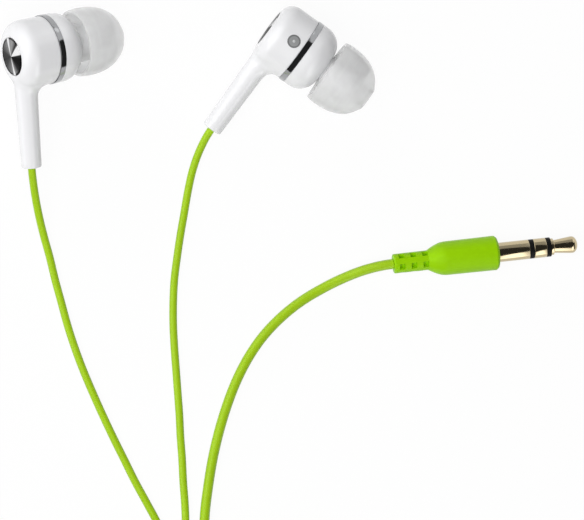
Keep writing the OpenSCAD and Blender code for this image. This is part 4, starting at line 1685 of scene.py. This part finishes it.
    def front_shell(self) -> Skin:
        """The front housing with its spigot, nozzle and barb, turned from one outline.

        Returns:
            The closed skin.
        """
        barb_x = self.nozzle_x - self.barb_len
        face_x = self.front_mid_x + self.front_round
        spigot = [(self.spigot_x, self.spigot_in), (self.spigot_x, self.spigot_r)]
        spigot += [(self.ring_half, self.spigot_r), (self.ring_half, self.front_r)]
        mid = (self.front_mid_x, self.front_r - self.front_round)
        dome = arc(mid, self.front_round, 90, 0, 24)
        seat_x, seat_r, hollow_x = self.mesh_x - 0.1, self.mesh_r + 0.05, self.front_mid_x + 0.3
        nozzle = [(face_x, self.nozzle_r), (barb_x, self.nozzle_r), (barb_x, self.barb_r)]
        nozzle += [(barb_x + self.barb_band, self.barb_r), (self.nozzle_x, self.nozzle_r - 0.05)]
        nozzle += [(self.nozzle_x, seat_r), (seat_x, seat_r), (seat_x, self.sound_r)]
        nozzle += [(face_x - self.wall, self.sound_r), (hollow_x, 4.5), (hollow_x, self.spigot_in)]
        outline = np.concatenate([spigot, dome, nozzle])
        spigot_eases, dome_eases = [0.05, 0.05, 0, 0.12], np.zeros(len(dome))
        nozzle_eases = [0.3, 0.1, 0.12, 0.2, 0.15, 0.08, 0.05, 0.05, 0.1, 0.3, 0.1]
        return turned(eased(outline, np.concatenate([spigot_eases, dome_eases, nozzle_eases])), 120)

    def trim_ring(self) -> Skin:
        """The chrome ring: a crowned band with eased edges.

        Returns:
            The closed skin.
        """
        half, low, edge_r = self.ring_half, self.spigot_r + self.fit, self.ring_r - 0.06
        crown = arc((0, self.ring_r - self.crown_r), self.crown_r, 95.5, 84.5, 8)
        start, end = [(half, low), (-half, low), (-half, edge_r)], [(half, edge_r)]
        outline = np.concatenate([start, crown, end])
        radius = np.concatenate([[0.03, 0.03, 0.05], np.zeros(len(crown)), [0.05]])
        return turned(eased(outline, radius, 3), 144)

    def badge_disc(self) -> Skin:
        """The metal disc on the back: flat behind, domed a little in front, with a fine lip.

        Returns:
            The closed skin.
        """
        r = np.linspace(self.badge_r - 0.28, 0, 12)
        bulge = self.badge_dome * (1 - (r / self.badge_r) ** 2)
        dome = np.stack([self.back_x - bulge, r], -1)
        lip_x = self.back_x - 0.05
        corners = [(self.badge_seat_x, 0.0), (self.badge_seat_x, self.badge_r)]
        corners += [(lip_x, self.badge_r), (lip_x, self.badge_r - 0.2)]
        lip = eased(np.array(corners), [0, 0.05, 0.08, 0.05])
        return turned(np.concatenate([lip[lip[:, 1].argmin() :], dome]), 120)

    def side_mark(self, sides: int = 72) -> Skin:
        """The mark in the barrel's side, with raised dots.

        A grid of the share out and the angle round gives a distance along the barrel and one
        round it, and the height over the barrel falls off at the edge. Each dot adds a bump
        that falls from its middle. The UV is the share out, and how far the dots raise it.

        Args:
            sides: How many points go round it.

        Returns:
            The closed skin.
        """
        out = np.concatenate([np.linspace(0.04, 0.9, 24), [0.94, 0.97, 0.99, 1.0, 1.0]])[:, None]
        turn = (np.arange(sides) * TURN / sides)[None]
        along, around = self.mark_r * out * np.cos(turn), self.mark_r * out * np.sin(turn)
        edge = np.clip((1 - out) / 0.08, 0, 1)
        rim = np.exp(-(((out - 0.85) / 0.05) ** 2)) * 0.03
        height = self.mark_height * np.sqrt(1 - (1 - edge) ** 2) + rim
        places = (np.arange(self.side.dots()) - (self.side.dots() - 1) / 2) * self.dot_pitch
        near = np.hypot(along[..., None] - places, around[..., None])
        raised = (np.clip(1 - (near / self.dot_r) ** 2, 0, 1) ** 0.5).sum(-1)
        height = height + self.dot_height * raised
        height[-1] = -self.mark_sunk
        radius = self.barrel_r + height
        lift = math.radians(self.mark_lift) + around / self.barrel_r
        y, z = self.side.out() * radius * np.cos(lift), radius * np.sin(lift)
        grid = np.stack([self.mark_x + along, y, z], -1)
        ends = np.stack([grid[0].mean(0), grid[-1].mean(0)])
        uv = np.stack(np.broadcast_arrays(out, np.clip(raised * 3, 0, 1)), -1).reshape(-1, 2)
        return capped(grid, ends, np.concatenate([uv, [[0, 0], [1, 0]]]))

    def nozzle_mesh(self, count: int = 13, pitch: float = 0.26, wire: float = 0.045) -> Skin:
        """Woven wire cloth in a rim: each wire is a sine over and under the ones it crosses.

        The wires at even offsets run along Y and then along Z, each as long as the chord of
        the rim there, and a small ring of points goes round each wire.

        Args:
            count: How many wires run each way.
            pitch: The distance between wires.
            wire: The radius of a wire.

        Returns:
            The wires and the rim as one skin.
        """
        reach, steps, sides = self.mesh_r - 0.08, 41, 6
        offset = (np.arange(count) - count // 2) * pitch
        chord = np.sqrt(reach**2 - offset**2)[:, None] * np.linspace(-1, 1, steps)
        sign = np.where(np.arange(count) % 2 == 0, 1.0, -1.0)[:, None]
        wave = (sign * np.sin(chord * math.pi / pitch + math.pi / 2) * wire)[..., None]
        circle = arc((0, 0), wire, 0, 300, sides - 1)
        start = (np.arange(count) * steps * sides)[:, None, None]
        strand = (lattice(steps, sides, False, True) + start).reshape(-1, 4)
        ends = np.array([[0, 1, 2, 3], [0, 3, 4, 5]])
        tips = np.concatenate([ends, (steps - 1) * sides + ends[:, ::-1]])
        quads = np.concatenate([strand, (tips + start).reshape(-1, 4)])
        wires = []
        for flip in (1, -1):
            x = self.mesh_x + 0.1 + (flip * wave + circle[:, 1])
            along, aside = chord[..., None], offset[:, None, None] + circle[:, 0]
            axes = [x, along, aside] if flip == 1 else [x, aside, along]
            grid = np.stack(np.broadcast_arrays(*axes), -1)
            wires.append(Skin(grid.reshape(-1, 3), quads).outward())
        low, high = self.mesh_x, self.mesh_x + 0.22
        rim = [(low, reach - 0.1), (low, self.mesh_r), (high, self.mesh_r), (high, reach - 0.1)]
        return turned(eased(np.array(rim), 0.04, 2), 72).joined(*wires)

    def tip_outside(self, x: np.ndarray) -> np.ndarray:
        """The ear tip's outer radius: curled in at the rim, then a full dome to the lip.

        Args:
            x: Distances along the axis.

        Returns:
            The radius at each.
        """
        curl_len = self.tip_wide_x - self.tip_back_x
        rim = self.tip_r - self.tip_curl * (np.maximum(self.tip_wide_x - x, 0) / curl_len) ** 2
        share = np.clip((x - self.tip_wide_x) / (1.0215 * self.tip_dome), 0, 1)
        return np.where(x < self.tip_wide_x, rim, self.tip_r * (1 - share**2.4) ** (1 / 2.1))

    def ear_tip(self) -> Skin:
        """The ear tip: dome, lip, mouth, sleeve and, behind a fork, the skirt's inside.

        Returns:
            The closed skin.
        """
        front, mouth = self.tip_wide_x + self.tip_dome, self.tip_mouth_r
        dome_x = self.tip_wide_x + 0.95 * self.tip_dome * np.sin(np.linspace(0, math.pi / 2, 36))
        x = np.concatenate([np.linspace(self.tip_back_x, self.tip_wide_x, 10)[:-1], dome_x])
        outside = np.stack([x, self.tip_outside(x)], -1)
        lip = [(front - 0.1, mouth + 0.38), (front, mouth + 0.12), (front - 0.12, mouth)]
        sleeve = [(self.nozzle_x + 0.15, mouth), (self.nozzle_x + 0.15, self.tip_bore_r)]
        sleeve += [(self.tip_sleeve_x, self.tip_bore_r), (self.tip_sleeve_x, self.tip_sleeve_r)]
        fork_x = self.tip_wide_x + self.tip_fork * self.tip_dome
        inside = self.tip_outside(np.array([fork_x]))[0] - self.tip_skin
        half = (inside - self.tip_sleeve_r) / 2
        fork = arc((fork_x, self.tip_sleeve_r + half), half, -90, 90, 12)
        back_x = np.linspace(fork_x - 0.4, self.tip_back_x, 14)
        back = np.stack([back_x, self.tip_outside(back_x) - self.tip_skin], -1)
        outline = np.concatenate([outside, lip, sleeve, fork, back])
        radius = np.zeros(len(outline))
        radius[[0, -1]] = 0.2
        start = len(outside) - 1
        radius[start : start + 8] = (0.3, 0.2, 0.15, 0.12, 0.1, 0.1, 0.2, 0.2)
        return turned(eased(outline, radius), 120)

    def build(self, shop: Workshop) -> None:
        """Makes the shown pieces and dresses the driver's nodes.

        Args:
            shop: The workshop.
        """
        side, lie = self.side.value, self.lie
        head, tip = "headset", f"{side}_tip"
        pieces = [
            ("rear_shell", self.rear_shell(), WHITE_SHELL, head, "rear_housing"),
            ("front_shell", self.front_shell(), WHITE_SHELL, head, "front_housing"),
            ("chrome_band", self.trim_ring(), CHROME, head, "trim_ring"),
            ("spun_disc", self.badge_disc(), SPUN_METAL, head, "badge_disc"),
            ("dotted_mark", self.side_mark(), GREY_MARK, head, "side_mark"),
            ("wire_cloth", self.nozzle_mesh(), MESH_STEEL, head, "nozzle_mesh"),
            ("silicone_tip", self.ear_tip(), SILICONE, tip, "ear_tip"),
        ]
        for name, skin, finish, body, node in pieces:
            shop.piece(f"{side}_{name}", skin, lie, finish, body, [f"{side}_{node}"])
        inner = {
            "driver_frame": DRIVER_PLASTIC,
            "driver_magnet_system": DRIVER_STEEL,
            "voice_coil": COPPER_WIRE,
            "diaphragm": DRIVER_FILM,
            "surround": DRIVER_FILM,
            "driver_cover": MESH_STEEL,
            "damping_felt": BLACK_FELT,
            "terminal_board": CIRCUIT_BOARD,
            "lead_wires": RED_WIRE,
            "cord_anchor": CRIMP_METAL,
            "cord_tail": GREEN_JACKET,
        }
        for node, finish in inner.items():
            shop.dress(f"{side}_{node}", finish, lie)


# ---- the plug and the splitter


@dataclass
class Plug:
    """The straight plug: moulded grip with a slotted strain relief, and the pin's contacts.

    Attributes:
        lie: Where it lies.
        slot_h: Length of a slot round the axis.
        slot_start: Distance from the relief's end to the first row's middle.
        slot_turn: How far the rows are turned from straight up, in degrees.
        root_x: How far back into the grip the contacts reach.
        rod_r: Radius of the rod that carries the tip contact.
    """

    lie: Placement
    grip_r: float = 3.1
    grip_back_r: float = 3.03
    grip_len: float = 12.95
    shoulder: float = 3.4
    relief_r: float = 1.775
    relief_tail_r: float = 1.745
    relief_len: float = 6.2
    slot_w: float = 1.0
    slot_h: float = 1.05
    slot_depth: float = 0.78
    slot_pitch: float = 2.15
    slot_start: float = 1.38
    slot_rows: int = 3
    slot_sides: int = 5
    slot_turn: float = 24.0
    cord_r: float = 0.9
    core_r: float = 2.12
    core_len: float = 9.0
    pin_r: float = 1.75
    root_x: float = -3.0
    sleeve_len: float = 5.6
    ring_len: float = 2.25
    insulator_len: float = 0.85
    tip_len: float = 4.95
    rod_r: float = 0.45
    fit: float = 0.02

    def exit(self) -> Exit:
        """The middle of the strain relief's end, and the way out of it."""
        return self.lie.point(-self.grip_len - self.relief_len, 0, 0), self.lie.way(-1, 0, 0)

    def grip(self) -> Skin:
        """The overmould, turned from its outline, with slots pressed into the strain relief.

        The radius of a point of the relief is the outline's less the slot's depth times a
        window along the axis and a window round it, and rows and columns lie close together
        at the windows' edges.

        Returns:
            The closed skin.
        """
        back = -self.grip_len - self.relief_len
        mids = back + self.slot_start + self.slot_pitch * np.arange(self.slot_rows)
        edges = np.array([-0.5, -0.44, 0.44, 0.5]) * self.slot_w
        ribs = np.arange(back + 0.5, -self.grip_len, 0.25)
        far = np.abs(ribs[:, None] - mids).min(1) > self.slot_w / 2 + 0.05
        x = np.sort(np.concatenate([ribs[far], (mids[:, None] + edges).ravel()]))
        taper = np.interp(x, [back, -self.grip_len], [self.relief_tail_r, self.relief_r])
        a = np.radians(np.linspace(0, 90, 17))
        shoulder_x = self.shoulder * a / (np.pi / 2) - self.grip_len
        bulge = self.relief_r + (self.grip_back_r - self.relief_r) * np.sin(a)
        end = arc((back + 0.2, self.relief_tail_r - 0.2), 0.2, 180, 90, 4)
        nose = arc((-0.7, self.grip_r - 0.35), 0.35, 88, 25, 6)
        face_r = np.linspace(self.grip_r - 0.3, self.pin_r + 0.1, 8)
        face_x = -0.35 * ((face_r - self.pin_r) / (self.grip_r - self.pin_r)) ** 2
        pin_bore, cord_bore = self.pin_r + self.fit, self.cord_r + self.fit
        bore = [(0, pin_bore), (-0.02, self.core_r), (-self.core_len, self.core_r)]
        bore += [(-self.core_len, cord_bore), (back, cord_bore)]
        curves = [(x, taper), (shoulder_x, bulge), nose.T, (face_x, face_r)]
        outline = np.concatenate([end, *(np.stack(curve, -1) for curve in curves), bore])
        half = math.degrees(math.asin(self.slot_h / 2 / self.relief_r))
        share = 360 / self.slot_sides
        edge = np.array([-half - 1, -half + 1, half - 1, half + 1])
        plain = np.linspace(half + 5, share - half - 5, 5)
        inside = np.linspace(-half + 5, half - 5, 3)
        turn = np.sort(np.concatenate([edge, plain, inside]))
        sides = (turn + share * np.arange(self.slot_sides)[:, None]).ravel()
        away = np.tile(np.abs((turn + share / 2) % share - share / 2), self.slot_sides)
        window_round = np.clip((half + 1 - away) / 2, 0, 1)
        off = np.abs(outline[:, 0:1] - mids).min(1)
        window_along = np.clip((0.5 - off / self.slot_w) / 0.06, 0, 1)
        window_along[outline[:, 1] < self.relief_tail_r - 0.01] = 0
        radius = outline[:, 1:] - self.slot_depth * window_along[:, None] * window_round
        rings = about_x(outline[:, :1], radius, np.radians(90 + self.slot_turn + sides))
        return Skin(rings.reshape(-1, 3), lattice(*radius.shape, True, True)).outward()

    def band(
        self, core: Sequence[float], start: float, end: float, top: float, eases: Sequence[float]
    ) -> Skin:
        """A contact or an insulator: a tube inside the pin with a band that shows.

        Args:
            core: Inner and outer radius of the tube.
            start: Where the band starts.
            end: Where it ends.
            top: Its radius.
            eases: How much its first and its last edge are rounded.

        Returns:
            The closed skin.
        """
        inner, outer = core
        corners = [(self.root_x, inner), (self.root_x, outer), (start, outer)]
        corners += [(start, top), (end, top), (end, inner)]
        return turned(eased(np.array(corners), [0, 0, 0, *eases, 0], 3), 72)

    def tip_contact(self, start: float) -> Skin:
        """The tip contact: a rod inside the pin, a waist, and a nose with a round end.

        Args:
            start: Where the part that shows starts.

        Returns:
            The closed skin.
        """
        end, neck, nose = start + self.tip_len, self.pin_r - 0.6, self.pin_r - 0.25
        corners = [(self.root_x, 0.0), (self.root_x, self.rod_r), (start, self.rod_r)]
        corners += [(start, nose), (start + 0.5, nose), (start + 0.62, neck)]
        corners += [(end - 1.25, nose), (end - 1, nose)]
        shaft = eased(np.array(corners), [0, 0, 0, 0.08, 0.04, 0.06, 0.2, 0])
        shaft = np.roll(shaft, -int(shaft[:, 1].argmin()), 0)
        cap = np.radians(np.linspace(0, 90, 13))[1:]
        round_end = np.stack([end - 1 + np.sin(cap), nose * np.cos(cap)], -1)
        round_end[-1, 1] = 0.0
        return turned(np.concatenate([shaft, round_end]), 72)

    def build(self, shop: Workshop) -> list[bpy.types.Object]:
        """Makes the plug's pieces. Its contacts and insulators lie round each other like shells.

        Args:
            shop: The workshop.

        Returns:
            All its pieces, nodes among them.
        """
        r, gap = self.pin_r, self.fit
        step = (r - self.rod_r) / 4
        shells = [self.rod_r + k * step for k in range(4)] + [r - 0.6 * step]
        tubes = [(inner + gap, outer) for inner, outer in zip(shells, shells[1:])]
        a = self.sleeve_len
        b = a + self.insulator_len
        c = b + self.ring_len
        d = c + self.insulator_len
        sleeve = self.band(tubes[3], 0, a, r, (0.05, 0.08))
        ring = self.band(tubes[1], b, c, r, (0.08, 0.08))
        first = self.band(tubes[2], a + gap, b - gap, r - gap, (0.03, 0.03))
        second = self.band(tubes[0], c + gap, d - gap, r - gap, (0.03, 0.03))
        pieces = [
            ("plug_grip", self.grip(), GREEN_MOULDING, "plug_overmould", 30.0),
            ("plug_sleeve", sleeve, PALE_GOLD, "plug_sleeve_contact", SHARP),
            ("plug_ring", ring, PALE_GOLD, "plug_ring_contact", SHARP),
            ("plug_tip", self.tip_contact(d), PALE_GOLD, "plug_tip_contact", SHARP),
            ("plug_rings", first.joined(second), BLACK_PLASTIC, "plug_insulators", SHARP),
        ]
        made = []
        for name, skin, finish, node, sharp in pieces:
            made.append(shop.piece(name, skin, self.lie, finish, "headset", [node], sharp))
        made.append(shop.dress("plug_core", IVORY_PLASTIC, self.lie))
        made.append(shop.dress("plug_cord_end", GREEN_JACKET, self.lie))
        return made


@dataclass
class Splitter:
    """The moulded splitter where the two branch cords join the main one.

    Attributes:
        lie: Where it lies.
        half_height: Half its height at the branch cords, as half_width is for its width.
        nose_r: Its radius at the main cord.
        end_round: Length of its eased ends.
        corner_power: How square its section is, where 2 is round.
    """

    lie: Placement
    length: float = 14.0
    half_height: float = 1.7
    half_width: float = 3.1
    nose_r: float = 1.4
    end_round: float = 0.5
    drawn_in: float = 0.45
    corner_power: float = 2.8

    def body(self, sides: int = 72) -> Skin:
        """The moulding: full round-cornered sections that draw in towards the main cord.

        A section is the curve |y/w|^n + |z/h|^n = 1. Its half width and half height fall
        smoothly along the front half, n falls to 2, and both ends are eased.

        Args:
            sides: How many points go round a section.

        Returns:
            The closed skin.
        """
        half, reach = self.length / 2, self.end_round
        into = reach * (1 - np.cos(np.linspace(0, math.pi / 2, 7)))
        middle = np.linspace(0.8 - half, half - 0.8, 42)
        x = np.concatenate([into - half, middle, half - into[::-1]])
        near_end = np.clip((np.abs(x) - half + reach) / reach, 0, 1)
        drawn_in = self.drawn_in * (1 - np.sqrt(np.clip(1 - near_end**2, 0, 1)))
        share = np.clip((x + 1) / (half - reach + 1), 0, 1)
        share = share**2 * (3 - 2 * share)
        wide = self.half_width + (self.nose_r - self.half_width) * share - drawn_in
        high = self.half_height + (self.nose_r - self.half_height) * share - drawn_in
        power = (2 / (self.corner_power - (self.corner_power - 2) * share))[:, None]
        angle = np.arange(sides) * TURN / sides
        c, s = np.cos(angle), np.sin(angle)
        y = wide[:, None] * np.sign(c) * np.abs(c) ** power
        z = high[:, None] * np.sign(s) * np.abs(s) ** power
        grid = np.stack([np.broadcast_to(x[:, None], y.shape), y, z], -1)
        return capped(grid, [(-half, 0, 0), (half, 0, 0)])

    def build(self, shop: Workshop) -> list[bpy.types.Object]:
        """Makes the moulding and dresses the two nodes inside it.

        Args:
            shop: The workshop.

        Returns:
            The piece and the two nodes.
        """
        skin, nodes = self.body(), ["splitter_body"]
        return [
            shop.piece("splitter_moulding", skin, self.lie, GREEN_MOULDING, "headset", nodes),
            shop.dress("splitter_core", BLACK_PLASTIC, self.lie),
            shop.dress("splitter_cord_ends", GREEN_JACKET, self.lie),
        ]


# ---- the studio


@dataclass(frozen=True)
class Card:
    """A card in the sky that only gloss shows.

    Attributes:
        way: The direction of its middle.
        half_angle: How far it reaches from there, in degrees.
        level: How bright it is, where the sky is 1.
        across: The direction of its width.
        half_width: Half its width in degrees, or 90 for a round card.
        offset: How far its middle line lies along the direction of its width.
        edge: How far its edge fades each way, in degrees.
    """

    way: tuple[float, float, float]
    half_angle: float
    level: float
    across: tuple[float, float, float] = (1.0, 0.0, 0.0)
    half_width: float = 90.0
    offset: float = 0.0
    edge: float = 2.0


@dataclass
class Studio:
    """The pale floor, the soft light and the camera.

    Attributes:
        tilt: How far the camera leans from overhead towards -X, in degrees.
        distance: How far it is from what it looks at, in millimetres.
        aim: The point that it looks at.
        scale: Pixels to the millimetre at that point.
        width: How many pixels wide the picture is.
        film: The width of the camera's film in millimetres.
        sky: The level of the soft light from the sky's middle.
        sky_slope: How that level changes along X, Y and Z.
        floor_half: Half the floor's length in metres.
        floor_drop: How far it is below the earphones in metres.
        floor_white: The share of plain white in the floor where it is seen.
        bounce: How pale the floor is for the light that it sends up.
        lamp_aim: What the lamps look at, in metres.
        cards: What gloss shows in the sky.
    """

    tilt: float = 9.5
    distance: float = 2000.0
    aim: tuple[float, float, float] = (19.2, -30.9, 3.0)
    scale: float = 5.6
    width: int = 584
    film: float = 36.0
    sky: float = 0.3
    sky_slope: tuple[float, float, float] = (-0.09, -0.11, -0.09)
    floor_half: float = 8.0
    floor_drop: float = 2e-5
    floor_white: float = 0.94
    bounce: float = 0.8
    lamp_aim: tuple[float, float, float] = (0.01, -0.03, 0.0)
    cards: tuple[Card, ...] = (
        Card((-0.75, 0.0, 0.66), 48.0, 2.1),
        Card((0.085, 0.708, 0.719), 35.0, 0.42, (0.994, 0.106, 0.0), 14.0, 0.163),
        Card((0.40, 0.86, 0.32), 8.0, 1.6),
        Card((0.092, -0.861, 0.5), 31.0, 2.5, (0.994, 0.106, 0.0), 8.0, 0.163),
        Card((0.13, -0.19, 0.97), 20.0, 0.25),
        Card((0.761, -0.226, 0.601), 41.0, 0.035, (0.925, 0.19, -0.33), 14.0, 0.478),
        Card((-0.268, -0.394, 0.878), 66.0, 0.035, (0.809, -0.584, 0.0645), 28.0, 0.07),
    )

    def camera(self) -> None:
        """Makes the camera: at the scale, the picture's width in pixels fills the film."""
        data = bpy.data.cameras.new("camera")
        data.sensor_width = self.film
        data.lens = self.scale * self.distance * self.film / self.width
        data.clip_start, data.clip_end = 0.01, 20.0
        camera = placed("camera", data)
        a = math.radians(self.tilt)
        right, up = Vector((math.cos(a), 0, math.sin(a))), Vector((0, 1, 0))
        back = right.cross(up)
        place = (Vector(self.aim) + back * self.distance) * MM
        turn = Matrix((right, up, back)).transposed().to_4x4()
        camera.matrix_world = Matrix.Translation(place) @ turn
        bpy.context.scene.camera = camera

    def seen(self, graph: Graph) -> Socket:
        """1 for the rays that show the background: camera, glossy and transmission rays.

        Args:
            graph: The graph of the floor or the sky.

        Returns:
            The mask.
        """
        path = graph.node("ShaderNodeLightPath", output="Is Camera Ray")
        glossy, through = graph.outputs(path, "Is Glossy Ray", "Is Transmission Ray")
        return path.most(glossy.most(through))

    def floor(self) -> None:
        """Makes the floor: a pale plane that shows white and keeps a faint shadow."""
        mesh = bpy.data.meshes.new("floor")
        half, low = self.floor_half, -self.floor_drop
        corners = [(-half, -half, low), (half, -half, low), (half, half, low), (-half, half, low)]
        mesh.from_pydata(corners, [], [(0, 1, 2, 3)])
        made = bpy.data.materials.new("floor_paper")
        graph = Graph(made)
        at = graph.own_place(LEVEL)
        tooth = graph.noise(at, 0.8, 3.0)
        seen = self.seen(graph)
        pale = graph.mix(tooth, shade_of(WHITE, 0.96), shade_of(WHITE, 0.98))
        dim = graph.mix(tooth, shade_of(WHITE, self.bounce), shade_of(WHITE, self.bounce * 1.02))
        paper = graph.node("ShaderNodeBsdfDiffuse", sockets={"Color": graph.mix(seen, dim, pale)})
        white = graph.node("ShaderNodeEmission", sockets={"Color": WHITE, "Strength": 1.0})
        mixed = {0: seen * self.floor_white, 1: paper, 2: white}
        graph.show(graph.node("ShaderNodeMixShader", sockets=mixed))
        mesh.materials.append(made)
        placed("floor", mesh)

    def card(self, graph: Graph, at: Sequence[Socket], card: Card) -> Socket:
        """A card in the sky: 1 on it, 0 off it and smooth over its edge.

        A direction is on the card where its share along the card's own direction is over the
        cosine of the half angle and its share across is under the sine of the half width.

        Args:
            graph: The sky's graph.
            at: The three numbers of the direction.
            card: The card.

        Returns:
            The mask.
        """
        way, across = unit(np.array([card.way, card.across])).tolist()
        along = sum((c * w for c, w in zip(at, way)), 0.0)
        fade = (-card.edge, card.edge)
        high, low = (math.cos(math.radians(card.half_angle + k)) for k in fade)
        mask = graph.step(along, low, high)
        if card.half_width >= 90:
            return mask
        sideways = abs(sum((c * w for c, w in zip(at, across)), 0.0) - card.offset)
        low, high = (math.sin(math.radians(card.half_width + k)) for k in fade)
        return mask * (1 - graph.step(sideways, low, high))

    def world(self) -> None:
        """Makes the sky: soft light, white where it is seen, with cards in what gloss shows."""
        world = bpy.data.worlds.new("sky")
        bpy.context.scene.world = world
        graph = Graph(world)
        at = graph.split(graph.node("ShaderNodeTexCoord", output="Generated"))
        shown = 1.0
        for card in self.cards:
            mask = self.card(graph, at, card)
            shown = shown + mask * (card.level - shown)
        seen = self.seen(graph)
        path = graph.node("ShaderNodeLightPath", output="Is Glossy Ray")
        soft = self.sky + sum((c * k for c, k in zip(at, self.sky_slope)), 0.0)
        level = soft + seen * (1 - soft)
        strength = level + path * (shown - level)
        light = graph.node("ShaderNodeBackground", sockets={"Color": WHITE, 1: strength})
        graph.show(light, "ShaderNodeOutputWorld")

    def lamp(
        self, name: str, place: tuple[float, float, float], size: float, watts: float
    ) -> None:
        """Makes a square soft lamp that looks at the middle of the earphones.

        Args:
            name: The lamp's name.
            place: Where it stands, in metres.
            size: The length of its side, in metres.
            watts: Its power.
        """
        data = bpy.data.lights.new(name, "AREA")
        data.shape, data.size, data.energy = "SQUARE", size, watts
        made = placed(name, data)
        made.location = place
        made.rotation_mode = "QUATERNION"
        back = Vector(place) - Vector(self.lamp_aim)
        made.rotation_quaternion = back.to_track_quat("Z", "Y")
        made.visible_glossy = False

    def build(self) -> None:
        """Sets the view to plain colour and makes the camera, floor, sky and lamps."""
        bpy.context.scene.view_settings.view_transform = "Standard"
        self.camera()
        self.floor()
        self.world()
        self.lamp("key_lamp", (-0.269, -0.155, 0.666), 0.7, 4.75)
        self.lamp("side_lamp", (-0.38, 0.62, 0.185), 0.3, 1.75)


# ---- the whole


def main() -> None:
    """Builds the studio, the cords, the plug and splitter and the two earpieces."""
    logging.basicConfig(level=logging.INFO, format="%(name)s: %(message)s")
    Studio().build()
    shop = Workshop(FRAME["nodes"])
    left = Earpiece(Side.LEFT, Placement((-25.87, 6.47, 8.84361), (-74.1, 19.2, 11.7)))
    right = Earpiece(Side.RIGHT, Placement((20.3, 6.3, 6.37768), (-78.0923, -3.7, -35.8)))
    plug = Plug(Placement((56.6, -29.56, 3.1), (0, 0, 6.1)))
    splitter = Splitter(Placement((-2.1, -119.4, 1.7), (0, 0, -90)))
    cords = Cords()
    left_run, right_run = cords.left(left.exit()), cords.right(right.exit())
    main_run = cords.main(plug.exit())
    left_cord = left_run.lay(shop, "left_cord")
    right_cord = right_run.lay(shop, "right_cord")
    main_cord = main_run.lay(shop, "main_cord")
    branch_tie = cords.tie(cords.branch_coil(0), cords.branch_d, 4, 180.0)
    main_tie = cords.tie(cords.main_coil(), cords.main_d, 4, 0.0)
    bands = branch_tie.joined(main_tie)
    ties = shop.piece("twist_ties", bands, LEVEL, TIE_PLASTIC, "headset", ["coil_ties"])
    plug_pieces = plug.build(shop)
    splitter_pieces = splitter.build(shop)
    left_run.declare(left_cord, left_run.route[0], "object", [ties])
    right_run.declare(right_cord, right_run.route[0], "object", [])
    start = np.array(cords.splitter_tail)
    main_run.declare(main_cord, start, "plug", [*splitter_pieces, *plug_pieces])
    left.build(shop)
    right.build(shop)


if __name__ == "__main__":
    main()
